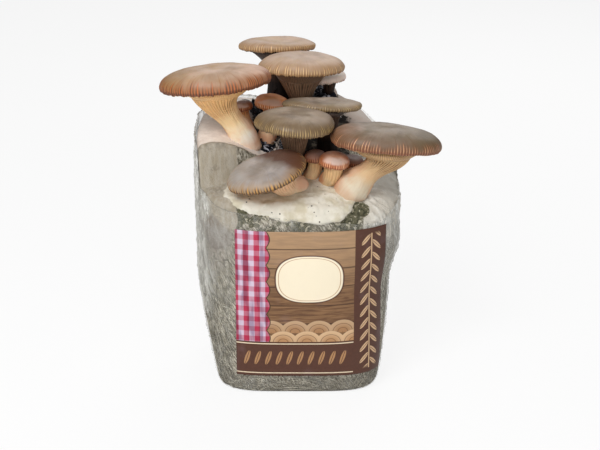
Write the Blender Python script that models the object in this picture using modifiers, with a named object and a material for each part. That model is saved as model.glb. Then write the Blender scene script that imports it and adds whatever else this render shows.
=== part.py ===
"""Mushroom grow kit: a block of straw grown through with white mycelium, in a clear film bag that is cut open at the
top, with a wrap-round paper label and a cluster of king oyster mushrooms growing from the block.

Metres, +Z up. The origin is the middle of the bag's flat bottom, where it rests. -Y is the front, with the label.
"""

import bisect
import math
from dataclasses import dataclass

import bmesh
import bpy
from mathutils import Matrix, Vector

MM = 0.001

# Outside of the bag. The body is narrower than the shoulder above it, and its middle is further left
BAG_WIDTH = 175 * MM
BAG_DEPTH = 160 * MM
BODY_WIDTH = 167 * MM
BODY_DEPTH = 156 * MM
BODY_LEFT = 3.5 * MM
BASE_WIDTH = 142 * MM
BASE_DEPTH = 134 * MM
BASE_ROUND = 5 * MM
SWELL_HEIGHT = 100 * MM  # the body reaches its full width here
SWELL_POWER = 1.5
BASE_CORNER, TOP_CORNER = 4.6, 2.9  # powers of the rounded outline: 2 is an ellipse, and higher is squarer
FILM = 0.4 * MM
CLEARANCE = 0.3 * MM  # between any two pieces that touch

# Top of the block: a low shelf in front, a plateau at the left and a mound at the back
TOP_HEIGHT = 185 * MM
FALL_RIGHT = 7 * MM
RISE_BACK = 6 * MM
PLATEAU_RISE = 34 * MM
PLATEAU_RIGHT, PLATEAU_LEFT = 5 * MM, -75 * MM  # where it starts to rise and where it is full
PLATEAU_FRONT = 30 * MM
PLATEAU_SLANT = 0.25
PLATEAU_STEP = 10 * MM
MOUND_HEIGHT = 48 * MM
MOUND_X, MOUND_Y = 24 * MM, 64 * MM
MOUND_WIDTH = 61 * MM
MOUND_DEPTH = 44 * MM
EDGE_DROP = 7 * MM
EDGE_DROP_RIGHT = 5 * MM
EDGE_DROP_FRONT = 4 * MM
EDGE_DROP_POWER = 6
LUMP_HEIGHT = 1.6 * MM
LUMP_PITCH = 62 * MM

# Shoulder, below the top of the block
SHOULDER_DOWN = 53 * MM
SHOULDER_RUN = 42 * MM
SHOULDER_RIGHT = 1 * MM
SHOULDER_HIGH = TOP_HEIGHT - SHOULDER_DOWN
SHOULDER_LOW = SHOULDER_HIGH - SHOULDER_RUN

# Mouth of the bag: it follows the block's edge, above it at the sides and back and below it in front
MOUTH_STAND = 2.5 * MM
MOUTH_CUT = 4 * MM
MOUTH_CUT_FROM, MOUTH_CUT_TO = 50 * MM, 66 * MM  # in front of the middle

# Creases of the film: side gussets and small folds that run down from the mouth
GUSSET_DEPTH = 2 * MM
GUSSET_POWER = 8
GUSSET_TURN = 5.0  # radians from the middle of the side to its corner
CREASE_DEPTH = 1.5 * MM
CREASES = 17

# Label
LABEL_BOTTOM = 19 * MM
LABEL_BELOW_MOUTH = 3.5 * MM
LABEL_LEFT = 52 * MM  # from the middle of the front to the left edge
LABEL_WIDTH = 130 * MM
LABEL_THICK = 0.3 * MM
LABEL_EASE_LEAST = 0.25 * MM  # it lies a little off the film where the film's flats cut the corner
SHOULDER_OUT = abs(BAG_WIDTH - BODY_WIDTH) + abs(BAG_DEPTH - BODY_DEPTH)
LABEL_EASE = LABEL_EASE_LEAST + SHOULDER_OUT / 40  # more where it spans a wide shoulder
LABEL_MARGIN = 7 * MM  # smooth film round the label
LABEL_CORNER = 40 * MM  # from the middle of the front to where the corner starts

# Mushrooms
GILL_DEPTH = 0.028  # height of the folds that stand for the gills, as a share of the cap's radius
RIM_SAG = 0.4  # how far the lobes of the rim rise and fall, as a share of how far they stand out
FLUTE = 0.035  # depth of the gills that run down a large stem, as a share of its radius
FOOT_SUNK = 0.55  # how deep a foot starts in the block, as a share of its bulb's radius

# How finely the surfaces are divided
WALL_COLUMNS = 40
WALL_RINGS = 5
TOP_RINGS = (1.0, 0.92, 0.78, 0.58, 0.32)
LABEL_FRONT_COLUMNS, LABEL_CORNER_COLUMNS = 5, 7
STEM_RINGS = (0.0, 0.25, 0.52, 0.76, 0.91, 1.0)
FLUTED_STEM_RINGS = (0.0, 0.18, 0.40, 0.60, 0.78, 0.91, 1.0)
BUTTON_STEM_RINGS = (0.0, 0.25, 0.55, 0.8, 1.0)

# Colour and roughness of each finish
FINISHES = {
    "straw": ((0.46, 0.41, 0.33), 0.95),
    "film": ((0.78, 0.78, 0.75), 0.25),
    "print": ((0.33, 0.17, 0.11), 0.45),
    "taupe": ((0.42, 0.31, 0.24), 0.6),
    "olive": ((0.32, 0.26, 0.18), 0.6),
    "lilac": ((0.42, 0.36, 0.33), 0.6),
    "rust": ((0.45, 0.24, 0.13), 0.6),
    "cream": ((0.85, 0.70, 0.50), 0.65),
}


@dataclass(frozen=True)
class Mushroom:
    """One mushroom. Its foot is placed by its share of half the bag's width and depth, and its cap from its foot.

    Lengths are in millimetres and angles in degrees.
    """

    name: str
    finish: str
    foot: tuple[float, float]
    lean: tuple[float, float]  # from the foot to the middle of the cap
    rise: float  # from the block's surface to the plane of the rim
    radius: float
    oval: float = 1.0  # the cap's depth over its width
    nod: float = 2.0  # towards the front
    roll: float = 0.0  # the left side down
    dome: float = 9.0
    dish: float = 0.0  # how far the middle of the cap sinks
    rim: float = 4.0
    boss: float = 9.0  # from the plane of the rim down to the top of the stem
    flare: float = 13.0  # radius of the stem's top
    neck: float = 8.0
    bulb: float = 10.0
    seat: tuple[float, float] = (0.0, 0.0)  # from the middle of the cap to the top of the stem
    lobes: float = 0.03  # how far the rim waves, as a share of the radius
    phase: float = 0.0
    gills: int = 14
    fluted: bool = False


MUSHROOMS = (
    Mushroom("left_large", "taupe", (-0.46, -0.06), (-27.8, -15.2), 57.8, 46, oval=0.66, nod=1, roll=5, dome=11,
             rim=5.5, boss=12, flare=21, neck=9, bulb=11.5, seat=(1, 0), lobes=0.02, phase=0.4, gills=16, fluted=True),
    Mushroom("right_large", "olive", (0.44, -0.6), (33.5, -2), 44.5, 45, oval=0.64, nod=1, roll=-5, dome=11, rim=5,
             boss=12, flare=21.5, neck=10, bulb=12.5, lobes=0.02, phase=2.2, gills=16, fluted=True),
    Mushroom("top_front", "taupe", (0.069, 0.475), (-2, -13), 49, 36, oval=0.8, nod=1, roll=-1, boss=14, flare=14,
             bulb=11, seat=(0, 8), phase=1.1),
    Mushroom("top_back", "taupe", (-0.183, 0.775), (-3, 6), 50.5, 34, oval=0.6, nod=0, roll=1, dome=5, dish=3,
             boss=15, flare=12, neck=7, bulb=9, seat=(3, 0), phase=3.0, gills=12),
    Mushroom("middle", "olive", (-0.011, -0.15), (-1, -34), 48.2, 33.5, oval=0.85, roll=-2, boss=13,
             seat=(0, 13), phase=4.2),
    Mushroom("long_back", "olive", (0.297, 0.075), (-5, -2), 46.5, 35, oval=0.48, nod=0, roll=-2, dome=4, dish=2,
             flare=12, bulb=9, seat=(4, 0), phase=5.0, gills=12),
    Mushroom("low_front", "lilac", (0, -0.5), (-25, -27.2), 18.6, 32.5, oval=0.93, nod=11, roll=14, dome=7, dish=2,
             neck=9.5, bulb=12.5, seat=(8, 3), phase=0.9),
    Mushroom("top_rear_small", "taupe", (0.297, 0.7), (1, -6), 17.8, 15, nod=4, roll=6, dome=5, rim=3,
             boss=5, flare=6.5, neck=4.5, bulb=6, phase=1.7, gills=8),
    Mushroom("button_left", "rust", (-0.309, 0.163), (4.8, 10), 29.7, 15, nod=3, roll=-6, dome=6, rim=3,
             boss=5, flare=7.5, neck=6, bulb=8, phase=2.5, gills=8),
    Mushroom("button_left_rear", "rust", (-0.491, 0.275), (-4.5, 5), 16.5, 8.5, nod=4, roll=4, dome=4, rim=2.5,
             boss=4, flare=5, neck=4.5, bulb=5.5, phase=0.2, gills=8),
    Mushroom("button_pair_left", "rust", (0.103, -0.344), (5.8, -5.5), 20.5, 9.5, nod=4, roll=4, dome=5,
             rim=2.5, boss=4, flare=6, neck=5.8, bulb=6.3, phase=3.3, gills=8),
    Mushroom("button_pair_right", "rust", (0.278, -0.3625), (5.8, -22), 23.6, 13, nod=5, roll=-4, dome=6, rim=3,
             boss=5, flare=8, neck=7, bulb=7.8, phase=4.6, gills=8),
    Mushroom("button_right_rear", "rust", (0.48, -0.25), (4, -2), 14, 10, nod=4, roll=-6, dome=4, rim=2.5,
             boss=4, flare=5, neck=4, bulb=5.5, phase=5.4, gills=8),
)


def smooth_step(value, low, high):
    """0 below low, 1 above high, and smooth between."""
    share = min(1.0, max(0.0, (value - low) / (high - low)))
    return share * share * (3 - 2 * share)


def outline_point(half_width, half_depth, power, angle):
    """A point of a rounded rectangle, as a superellipse."""
    c, s = math.cos(angle), math.sin(angle)
    x, y = abs(c) ** (2 / power) * half_width, abs(s) ** (2 / power) * half_depth
    return math.copysign(x, c), math.copysign(y, s)


def outline_table(half_width, half_depth, power, steps=7200):
    """The parameters round an outline, and the length walked at each."""
    angles = [math.tau * i / steps for i in range(steps + 1)]
    points = [outline_point(half_width, half_depth, power, a) for a in angles]
    lengths = [0.0]
    for before, after in zip(points, points[1:]):
        lengths.append(lengths[-1] + math.dist(before, after))
    return angles, lengths


def even_angles(count):
    """Parameters at even steps of length round the shoulder's outline."""
    angles, lengths = outline_table(BAG_WIDTH / 2, BAG_DEPTH / 2, TOP_CORNER)
    return [angles[bisect.bisect_left(lengths, lengths[-1] * i / count)] for i in range(count)]


COLUMN_ANGLES = even_angles(WALL_COLUMNS)


def section(height, grow):
    """The wall's outline at a height, grown outwards: its middle in X, half its width and depth, and its power."""
    swell = 1 - max(0.0, 1 - height / SWELL_HEIGHT) ** SWELL_POWER
    shoulder = smooth_step(height, SHOULDER_LOW, SHOULDER_HIGH)
    tuck = 0.0
    if height < BASE_ROUND:
        tuck = BASE_ROUND - math.sqrt(BASE_ROUND**2 - (BASE_ROUND - height) ** 2)
    width = BASE_WIDTH + (BODY_WIDTH - BASE_WIDTH) * swell + (BAG_WIDTH - BODY_WIDTH) * shoulder
    depth = BASE_DEPTH + (BODY_DEPTH - BASE_DEPTH) * swell + (BAG_DEPTH - BODY_DEPTH) * shoulder
    power = BASE_CORNER + (TOP_CORNER - BASE_CORNER) * swell
    middle = SHOULDER_RIGHT * shoulder - BODY_LEFT * (1 - shoulder) * swell**2
    return middle, width / 2 - tuck + grow, depth / 2 - tuck + grow, power


def wall_point(height, angle, grow):
    """A point of the wall."""
    middle, *outline = section(height, grow)
    x, y = outline_point(*outline, angle)
    return Vector((middle + x, y, height))


def wall_heights():
    """Heights of the rings from the bottom up to the shoulder, above which the wall is upright."""
    rounding = [0.0, BASE_ROUND * (1 - math.cos(math.radians(50))), BASE_ROUND]
    step = (SHOULDER_HIGH - BASE_ROUND) / WALL_RINGS
    return rounding + [BASE_ROUND + step * i for i in range(1, WALL_RINGS + 1)]


def wall_rings(grow, bottom):
    """Rings of the wall up to the shoulder, with the rounded bottom lifted so that it starts at a given height."""
    rings = [[wall_point(height, a, grow) for a in COLUMN_ANGLES] for height in wall_heights()]
    for ring in rings[:2]:
        for point in ring:
            point.z += bottom
    return rings


def top_height(x, y, edge):
    """Height of the block's top. edge is 0 at the middle and 1 at the wall."""
    u, v = x / (BAG_WIDTH / 2), y / (BAG_DEPTH / 2)
    level = TOP_HEIGHT - FALL_RIGHT * max(0.0, u) + RISE_BACK * v
    front = PLATEAU_FRONT - PLATEAU_SLANT * (x + BAG_WIDTH / 4)
    in_front = smooth_step(-y, front - PLATEAU_STEP / 2, front + PLATEAU_STEP / 2)
    plateau = PLATEAU_RISE * smooth_step(-x, -PLATEAU_RIGHT, -PLATEAU_LEFT) * (1 - in_front)
    mound = MOUND_HEIGHT * math.exp(-((x - MOUND_X) / MOUND_WIDTH) ** 2 - ((y - MOUND_Y) / MOUND_DEPTH) ** 2)
    drop = (EDGE_DROP + EDGE_DROP_RIGHT * u - EDGE_DROP_FRONT * v) * edge**EDGE_DROP_POWER
    turn = math.tau / LUMP_PITCH
    broad = math.sin(turn * x + 0.6) * math.sin(turn * y + 1.9)
    narrow = math.sin(2.3 * turn * x) * math.cos(1.9 * turn * y)
    lumps = LUMP_HEIGHT * (broad + narrow / 2) * (1 - edge**4)
    return level + plateau + mound - drop + lumps


def mouth_point(angle, grow):
    """A point of the bag's cut edge."""
    point = wall_point(SHOULDER_HIGH, angle, grow)
    in_front = smooth_step(-point.y, MOUTH_CUT_FROM, MOUTH_CUT_TO)
    point.z = top_height(point.x, point.y, 1.0) + MOUTH_STAND - (MOUTH_STAND + MOUTH_CUT) * in_front
    return point


LABEL_TOP = min(mouth_point(angle, 0.0).z for angle in COLUMN_ANGLES) - LABEL_BELOW_MOUTH


def crease(point, angle):
    """How far the film stands off the block: gussets at both sides and folds, none of them under the label."""
    side = (abs(point.x) / (BAG_WIDTH / 2)) ** GUSSET_POWER
    gusset = GUSSET_DEPTH * side * math.cos(GUSSET_TURN * point.y / (BAG_DEPTH / 2)) ** 2
    folds = CREASE_DEPTH * (0.5 + 0.5 * math.sin(CREASES * angle + 2 * math.sin(3 * angle)))
    high = smooth_step(point.z, BASE_ROUND, SWELL_HEIGHT)
    in_front = smooth_step(-point.y, 0.0, BAG_DEPTH / 4)
    beside = smooth_step(point.x, -LABEL_LEFT - 3 * LABEL_MARGIN, -LABEL_LEFT - LABEL_MARGIN)
    above = smooth_step(point.z, LABEL_TOP + LABEL_MARGIN, LABEL_TOP + 2 * LABEL_MARGIN)
    return (gusset + folds) * high * (1 - in_front * beside * (1 - above))


def stood_off(point, angle):
    """The point moved outwards by the film's creases there."""
    outwards = Vector((point.x / BAG_WIDTH**2, point.y / BAG_DEPTH**2, 0)).normalized()
    return point + outwards * crease(point, angle)


def dressed(name, mesh, finish, collection):
    """Links a mesh as an object, shaded smooth, with a material of its own."""
    made = bpy.data.objects.new(name, mesh)
    collection.objects.link(made)
    mesh.shade_smooth()
    mesh.set_sharp_from_angle(angle=math.radians(50))
    colour, roughness = FINISHES[finish]
    material = bpy.data.materials.new(name)
    material.use_nodes = True
    shader = material.node_tree.nodes["Principled BSDF"]
    shader.inputs["Base Color"].default_value = (*colour, 1)
    shader.inputs["Roughness"].default_value = roughness
    shader.inputs["Metallic"].default_value = 0.0
    material.diffuse_color = (*colour, 1)
    mesh.materials.append(material)
    return made


def loft(name, rings, closed_round=True, start=True, end=True, peak=None):
    """A mesh through rings of equal length, with a face at its start and at its end, or a fan there to a peak."""
    shape = bmesh.new()
    rows = [[shape.verts.new(point) for point in ring] for ring in rings]
    count = len(rows[0])
    for low, high in zip(rows, rows[1:]):
        for i in range(count if closed_round else count - 1):
            j = (i + 1) % count
            shape.faces.new((low[i], low[j], high[j], high[i]))
    if start:
        shape.faces.new(reversed(rows[0]))
    if peak is not None:
        tip = shape.verts.new(peak)
        for i in range(count):
            shape.faces.new((rows[-1][i], rows[-1][(i + 1) % count], tip))
    elif end:
        shape.faces.new(rows[-1])
    bmesh.ops.recalc_face_normals(shape, faces=shape.faces)
    quads = [face for face in shape.faces if len(face.verts) == 4]
    bmesh.ops.triangulate(shape, faces=quads, quad_method="FIXED")
    mesh = bpy.data.meshes.new(name)
    shape.to_mesh(mesh)
    shape.free()
    return mesh


def thickened(sheet, thickness, offset):
    """Thickens an open sheet to one side."""
    solid = sheet.modifiers.new("thickness", "SOLIDIFY")
    solid.thickness = thickness
    solid.offset = offset
    solid.use_even_offset = True
    return sheet


def block_mesh(name, lift):
    """The block, or with lift the same shape with its top raised, which is the room that it needs."""
    inset = FILM + CLEARANCE
    rings = wall_rings(-inset, bottom=inset)
    edge = [wall_point(SHOULDER_HIGH, a, -inset) for a in COLUMN_ANGLES]
    for share in TOP_RINGS:
        places = [(point.x * share, point.y * share) for point in edge]
        rings.append([Vector((x, y, top_height(x, y, share) + lift)) for x, y in places])
    return loft(name, rings, peak=Vector((0, 0, top_height(0, 0, 0) + lift)))


def make_bag(collection):
    """The film bag: its inner surface as an open sheet, thickened outwards."""
    rings = wall_rings(-FILM, bottom=FILM)
    rings.append([mouth_point(a, -FILM) for a in COLUMN_ANGLES])
    for ring in rings[2:]:
        ring[:] = [stood_off(point, a) for point, a in zip(ring, COLUMN_ANGLES)]
    mesh = loft("film_bag", rings, end=False)
    return thickened(dressed("film_bag", mesh, "film", collection), FILM, 1.0)


def make_label(collection):
    """The paper label: a sheet that follows the front and the right corner, at the same length along every height."""
    front, corner = LABEL_FRONT_COLUMNS, LABEL_CORNER_COLUMNS
    right = LABEL_WIDTH - LABEL_LEFT
    places = [-LABEL_LEFT + (LABEL_CORNER + LABEL_LEFT) * i / front for i in range(front)]
    places += [LABEL_CORNER + (right - LABEL_CORNER) * i / corner for i in range(corner + 1)]
    heights = [LABEL_BOTTOM, *(z for z in wall_heights() if LABEL_BOTTOM < z < LABEL_TOP), LABEL_TOP]
    rows = []
    for height in heights:
        middle, *outline = section(height, CLEARANCE + LABEL_EASE)
        angles, lengths = outline_table(*outline)
        front_middle = lengths[len(lengths) * 3 // 4] - middle
        row = []
        for place in places:
            x, y = outline_point(*outline, angles[bisect.bisect_left(lengths, front_middle + place)])
            row.append(Vector((middle + x, y, height)))
        rows.append(row)
    mesh = loft("label", rows, closed_round=False, start=False, end=False)
    outwards = 1.0 if mesh.polygons[0].normal.y < 0 else -1.0
    return thickened(dressed("label", mesh, "print", collection), LABEL_THICK, outwards)


def foot_point(shroom):
    """Where a stem meets the block's surface."""
    x, y = shroom.foot[0] * BAG_WIDTH / 2, shroom.foot[1] * BAG_DEPTH / 2
    edge = max(abs(share) for share in shroom.foot)
    return Vector((x, y, top_height(x, y, edge)))


def cap_frame(shroom):
    """The matrix of a cap's own frame: its rim in the XY plane, its top towards +Z."""
    place = foot_point(shroom) + Vector((*shroom.lean, shroom.rise)) * MM
    turn = Matrix.Rotation(math.radians(shroom.nod), 4, "X") @ Matrix.Rotation(math.radians(-shroom.roll), 4, "Y")
    return Matrix.Translation(place) @ turn


def rim_wave(angle, phase):
    """The slow lobes of a cap's edge."""
    wave = math.sin(2 * angle + phase)
    wave += 0.6 * math.sin(3 * angle - 1.7 * phase)
    wave += 0.3 * math.sin(5 * angle + 2.9 * phase)
    return wave


def cap_rings(shroom):
    """Rings of a cap in its own frame, in millimetres: over the top, round the rim and in along the gills."""
    radius, dome, dish, rim = shroom.radius, shroom.dome, shroom.dish, shroom.rim
    gill = GILL_DEPTH * radius
    stations = (
        (0.30 * radius, dome - dish, 0.0),
        (0.66 * radius, 0.84 * dome - 0.3 * dish, 0.0),
        (0.91 * radius, 0.42 * dome, 0.0),
        (1.00 * radius, -0.35 * rim, 0.0),
        (0.95 * radius, -rim, 0.0),
        (0.86 * radius, -0.80 * rim, gill),
    )
    angles = [math.pi * i / shroom.gills for i in range(2 * shroom.gills)]
    rings = []
    for reach, height, fold in stations:
        ring = []
        for i, angle in enumerate(angles):
            wavy = reach * (1 + shroom.lobes * rim_wave(angle, shroom.phase))
            sag = RIM_SAG * shroom.lobes * radius * (reach / radius) ** 3 * rim_wave(angle, shroom.phase + 2)
            z = height + sag + (fold if i % 2 else -fold)
            ring.append(Vector((wavy * math.cos(angle), wavy * shroom.oval * math.sin(angle), z)))
        rings.append(ring)
    seat = Vector((*shroom.seat, -shroom.boss))
    rings.append([seat + Vector((math.cos(a), math.sin(a), 0)) * shroom.flare for a in angles])
    return rings


def make_cap(shroom, collection):
    """A cap with its gills, as one solid."""
    mesh = loft(f"cap_{shroom.name}", cap_rings(shroom))
    mesh.transform(cap_frame(shroom) @ Matrix.Scale(MM, 4))
    return dressed(f"cap_{shroom.name}", mesh, shroom.finish, collection)


def stem_line(shroom, share):
    """A point of the stem's middle line and its direction there: 0 is in the block, and 1 is under the cap."""
    frame = cap_frame(shroom)
    up = frame.to_3x3() @ Vector((0, 0, 1))
    top = frame @ (Vector((*shroom.seat, -shroom.boss)) * MM) - up * CLEARANCE
    foot = foot_point(shroom) - Vector((0, 0, FOOT_SUNK * shroom.bulb * MM))
    reach = (top - foot).length
    near_foot = foot.lerp(top, 0.25) + Vector((0, 0, 0.12 * reach))
    near_top = top - up * 0.42 * reach
    t, s = share, 1 - share
    point = foot * s**3 + near_foot * 3 * s * s * t + near_top * 3 * s * t * t + top * t**3
    slope = (near_foot - foot) * s * s + (near_top - near_foot) * 2 * s * t + (top - near_top) * t * t
    return point, slope.normalized()


def stem_radius(shroom, share):
    """Thick at the foot, thin at the neck, and flared under the cap."""
    bulb = (shroom.bulb - shroom.neck) * math.exp(-(((share - 0.22) / 0.26) ** 2))
    flare = (shroom.flare - shroom.neck) * smooth_step(share, 0.45, 1.0) ** 1.4
    return (shroom.neck + bulb + flare) * MM


def make_stem(shroom, room, collection):
    """A stem: rings along its line, fluted at the top by the gills that run down it, and cut to sit on the block."""
    if shroom.fluted:
        count, stations = 2 * shroom.gills, FLUTED_STEM_RINGS
    elif shroom.gills > 10:
        count, stations = shroom.gills + 2, STEM_RINGS
    else:
        count, stations = shroom.gills + 2, BUTTON_STEM_RINGS
    rings = []
    side = Vector((1, 0, 0))
    for share in stations:
        point, along = stem_line(shroom, share)
        side = (side - along * side.dot(along)).normalized()
        across = along.cross(side)
        radius = stem_radius(shroom, share)
        flute = FLUTE * smooth_step(share, 0.5, 0.8) * (1 - smooth_step(share, 0.93, 1.0)) if shroom.fluted else 0.0
        ring = []
        for i in range(count):
            angle = math.tau * i / count
            reach = radius * (1 + flute * (1 if i % 2 else -1))
            ring.append(point + (side * math.cos(angle) + across * math.sin(angle)) * reach)
        rings.append(ring)
    stem = dressed(f"stem_{shroom.name}", loft(f"stem_{shroom.name}", rings), "cream", collection)
    cut = stem.modifiers.new("seat on the block", "BOOLEAN")
    cut.operation = "DIFFERENCE"
    cut.object = room
    return stem


def new_collection(name):
    """A collection in the scene."""
    made = bpy.data.collections.new(name)
    bpy.context.scene.collection.children.link(made)
    return made


def main():
    """Clears the scene and builds the kit."""
    for old in list(bpy.data.objects):
        bpy.data.objects.remove(old)
    kit = new_collection("mushroom_grow_kit")
    cutters = new_collection("cutters")
    dressed("substrate_block", block_mesh("substrate_block", 0.0), "straw", kit)
    make_bag(kit)
    make_label(kit)
    room = dressed("block_room", block_mesh("block_room", CLEARANCE), "straw", cutters)
    room.hide_render = True
    room.display_type = "WIRE"
    for shroom in MUSHROOMS:
        make_cap(shroom, kit)
        make_stem(shroom, room, kit)


main()
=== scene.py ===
"""Dresses a mushroom grow kit: a straw block in wrinkled film, a printed label and a cluster of king oysters.

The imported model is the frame. Every piece here stands for one of its nodes, or for a part of one, and keeps that
node's place and size. Lengths are in millimetres until a mesh is made.
"""

import logging
import math
from collections.abc import Mapping, Sequence
from dataclasses import dataclass
from enum import Enum

import bpy
import numpy as np
from mathutils import Matrix, Vector


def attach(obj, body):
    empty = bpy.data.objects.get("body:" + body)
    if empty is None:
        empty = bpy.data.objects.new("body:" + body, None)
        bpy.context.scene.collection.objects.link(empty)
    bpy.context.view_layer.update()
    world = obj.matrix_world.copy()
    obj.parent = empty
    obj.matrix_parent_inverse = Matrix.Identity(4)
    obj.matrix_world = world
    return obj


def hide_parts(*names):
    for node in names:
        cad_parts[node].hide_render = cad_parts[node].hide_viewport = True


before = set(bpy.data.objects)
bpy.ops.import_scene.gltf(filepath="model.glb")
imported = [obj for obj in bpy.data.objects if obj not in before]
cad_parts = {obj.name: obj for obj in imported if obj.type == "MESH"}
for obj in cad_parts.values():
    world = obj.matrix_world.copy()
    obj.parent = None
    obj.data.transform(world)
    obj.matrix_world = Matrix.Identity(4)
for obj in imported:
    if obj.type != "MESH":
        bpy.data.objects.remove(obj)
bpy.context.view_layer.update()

MM = 0.001
log = logging.getLogger("grow_kit")

Colour = tuple[float, float, float]
Spot = tuple[float, float, float]
UP = np.array([0.0, 0.0, 1.0])
GRAIN_CELLS = 256
FINE_STEPS = 7201


def dye(red: int, green: int, blue: int) -> Colour:
    """Turns a colour as a screen shows it into the one that a shader takes.

    Args:
        red: Red from 0 to 255.
        green: Green from 0 to 255.
        blue: Blue from 0 to 255.

    Returns:
        The linear colour.
    """
    shares = (red / 255, green / 255, blue / 255)
    return tuple(s / 12.92 if s <= 0.04045 else ((s + 0.055) / 1.055) ** 2.4 for s in shares)


def fade(value: np.ndarray, low: float | np.ndarray, high: float | np.ndarray) -> np.ndarray:
    """Rises smoothly from 0 at low to 1 at high.

    Args:
        value: The values to test.
        low: Where the rise starts.
        high: Where it ends.

    Returns:
        Values from 0 to 1.
    """
    share = np.clip((value - low) / (high - low), 0.0, 1.0)
    return share * share * (3 - 2 * share)


def between(value: np.ndarray, *edges: float | np.ndarray) -> np.ndarray:
    """Rises from 0 at the first edge to 1 at the second, and falls again from the third to the fourth."""
    return fade(value, *edges[:2]) * (1 - fade(value, *edges[2:]))


def walked(x: np.ndarray, y: np.ndarray) -> np.ndarray:
    """The length walked along a line of points, up to each of them."""
    return np.concatenate([[0.0], np.cumsum(np.hypot(np.diff(x), np.diff(y)))])


class Grain:
    """Smooth random values over space, the same in every run."""

    def __init__(self, seed: int) -> None:
        """Draws the values of the lattice.

        Args:
            seed: The number that the draw starts from.
        """
        draw = np.random.default_rng(seed)
        self.order = draw.permutation(GRAIN_CELLS)
        self.heights = draw.uniform(-1.0, 1.0, GRAIN_CELLS)

    def at(self, points: np.ndarray, size: float | Sequence[float]) -> np.ndarray:
        """Reads the grain.

        Args:
            points: Points in an array whose last axis is X, Y and Z.
            size: Size of a lump, or its size along each axis.

        Returns:
            A value from -1 to 1 for each point.
        """
        scaled = points / np.asarray(size, dtype=float) + 37.3
        cell = np.floor(scaled).astype(int)
        share = scaled - cell
        share = share * share * share * (share * (share * 6 - 15) + 10)
        total = np.zeros(points.shape[:-1])
        for corner in range(8):
            step = np.array([corner & 1, corner >> 1 & 1, corner >> 2 & 1])
            at = (cell + step) % GRAIN_CELLS
            key = self.order[at[..., 0]]
            for axis in (1, 2):
                key = self.order[(key + at[..., axis]) % GRAIN_CELLS]
            weight = np.prod(np.where(step == 1, share, 1 - share), axis=-1)
            total += weight * self.heights[key]
        return total

    def layered(self, points: np.ndarray, size: float | Sequence[float], layers: int = 3) -> np.ndarray:
        """Adds finer and weaker grain to the coarse one.

        Args:
            points: Points in an array whose last axis is X, Y and Z.
            size: Size of the largest lump, or its size along each axis.
            layers: How many sizes are added up, each half of the one before.

        Returns:
            A value from about -1 to 1 for each point.
        """
        size = np.asarray(size, dtype=float)
        total = sum(self.at(points + 19.1 * i, size / 2**i) / 2**i for i in range(layers))
        return total / (2 - 2.0 ** (1 - layers))


def normals(points: np.ndarray, around: bool) -> np.ndarray:
    """Works out the direction that a grid of points faces.

    Args:
        points: Rows and columns of points.
        around: Whether the last column meets the first.

    Returns:
        A unit vector for each point, outwards where the rows go up and the columns go anticlockwise.
    """
    if around:
        across = np.roll(points, -1, axis=1) - np.roll(points, 1, axis=1)
    else:
        across = np.gradient(points, axis=1)
    upward = np.gradient(points, axis=0)
    facing = np.cross(across, upward)
    length = np.linalg.norm(facing, axis=-1, keepdims=True)
    return facing / np.maximum(length, 1e-9)


def twisted(points: np.ndarray, lean: float) -> np.ndarray:
    """Args:
        points: The points.
        lean: How far the grain goes sideways for each millimetre of height.

    Returns:
        The turned points.
    """
    turn = lean * points[..., 2] / 80.0
    c, s = np.cos(turn), np.sin(turn)
    x, y, z = np.moveaxis(points, -1, 0)
    return np.stack([x * c - y * s, x * s + y * c, z], axis=-1)


def ring_of(angle: np.ndarray, radius: float) -> np.ndarray:
    """Points on a level circle, where grain is read that has to close on itself."""
    return np.stack([np.cos(angle) * radius, np.sin(angle) * radius, 0 * angle], axis=-1)


def meshed(
    name: str, points: np.ndarray, faces: list[tuple[int, ...]], values: Mapping[str, np.ndarray]
) -> bpy.types.Object:
    """Makes a mesh object, shaded smooth.

    Args:
        name: The object's name.
        points: One row for each point.
        faces: The faces as tuples of point numbers.
        values: For each name, one row for each point, of 1 or 3 numbers.

    Returns:
        The object, linked to the scene.
    """
    mesh = bpy.data.meshes.new(name)
    mesh.from_pydata(points * MM, [], faces)
    for key, rows in values.items():
        kind, field = ("FLOAT_VECTOR", "vector") if rows.shape[1] == 3 else ("FLOAT", "value")
        layer = mesh.attributes.new(key, kind, "POINT")
        layer.data.foreach_set(field, rows.astype(np.float32).ravel())
    mesh.shade_smooth()
    made = bpy.data.objects.new(name, mesh)
    bpy.context.scene.collection.objects.link(made)
    return made


def scattered(
    name: str, verts: Sequence[np.ndarray], tone: np.ndarray, faces: Sequence[Sequence[int]]
) -> bpy.types.Object:
    """Makes one mesh of many small things that are alike.

    Args:
        name: The object's name.
        verts: For each point of one thing, where it is on every one of them.
        tone: How pale each thing is.
        faces: The faces of one thing, as its point numbers.

    Returns:
        The object, linked to the scene.
    """
    first = len(verts) * np.arange(len(tone))
    listed = [np.stack([first + corner for corner in face], axis=-1) for face in faces]
    rows = [tuple(face) for face in np.concatenate(listed).tolist()]
    points = np.stack(verts, axis=1).reshape(-1, 3)
    return meshed(name, points, rows, {"tone": np.repeat(tone, len(verts))[:, None]})


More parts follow.
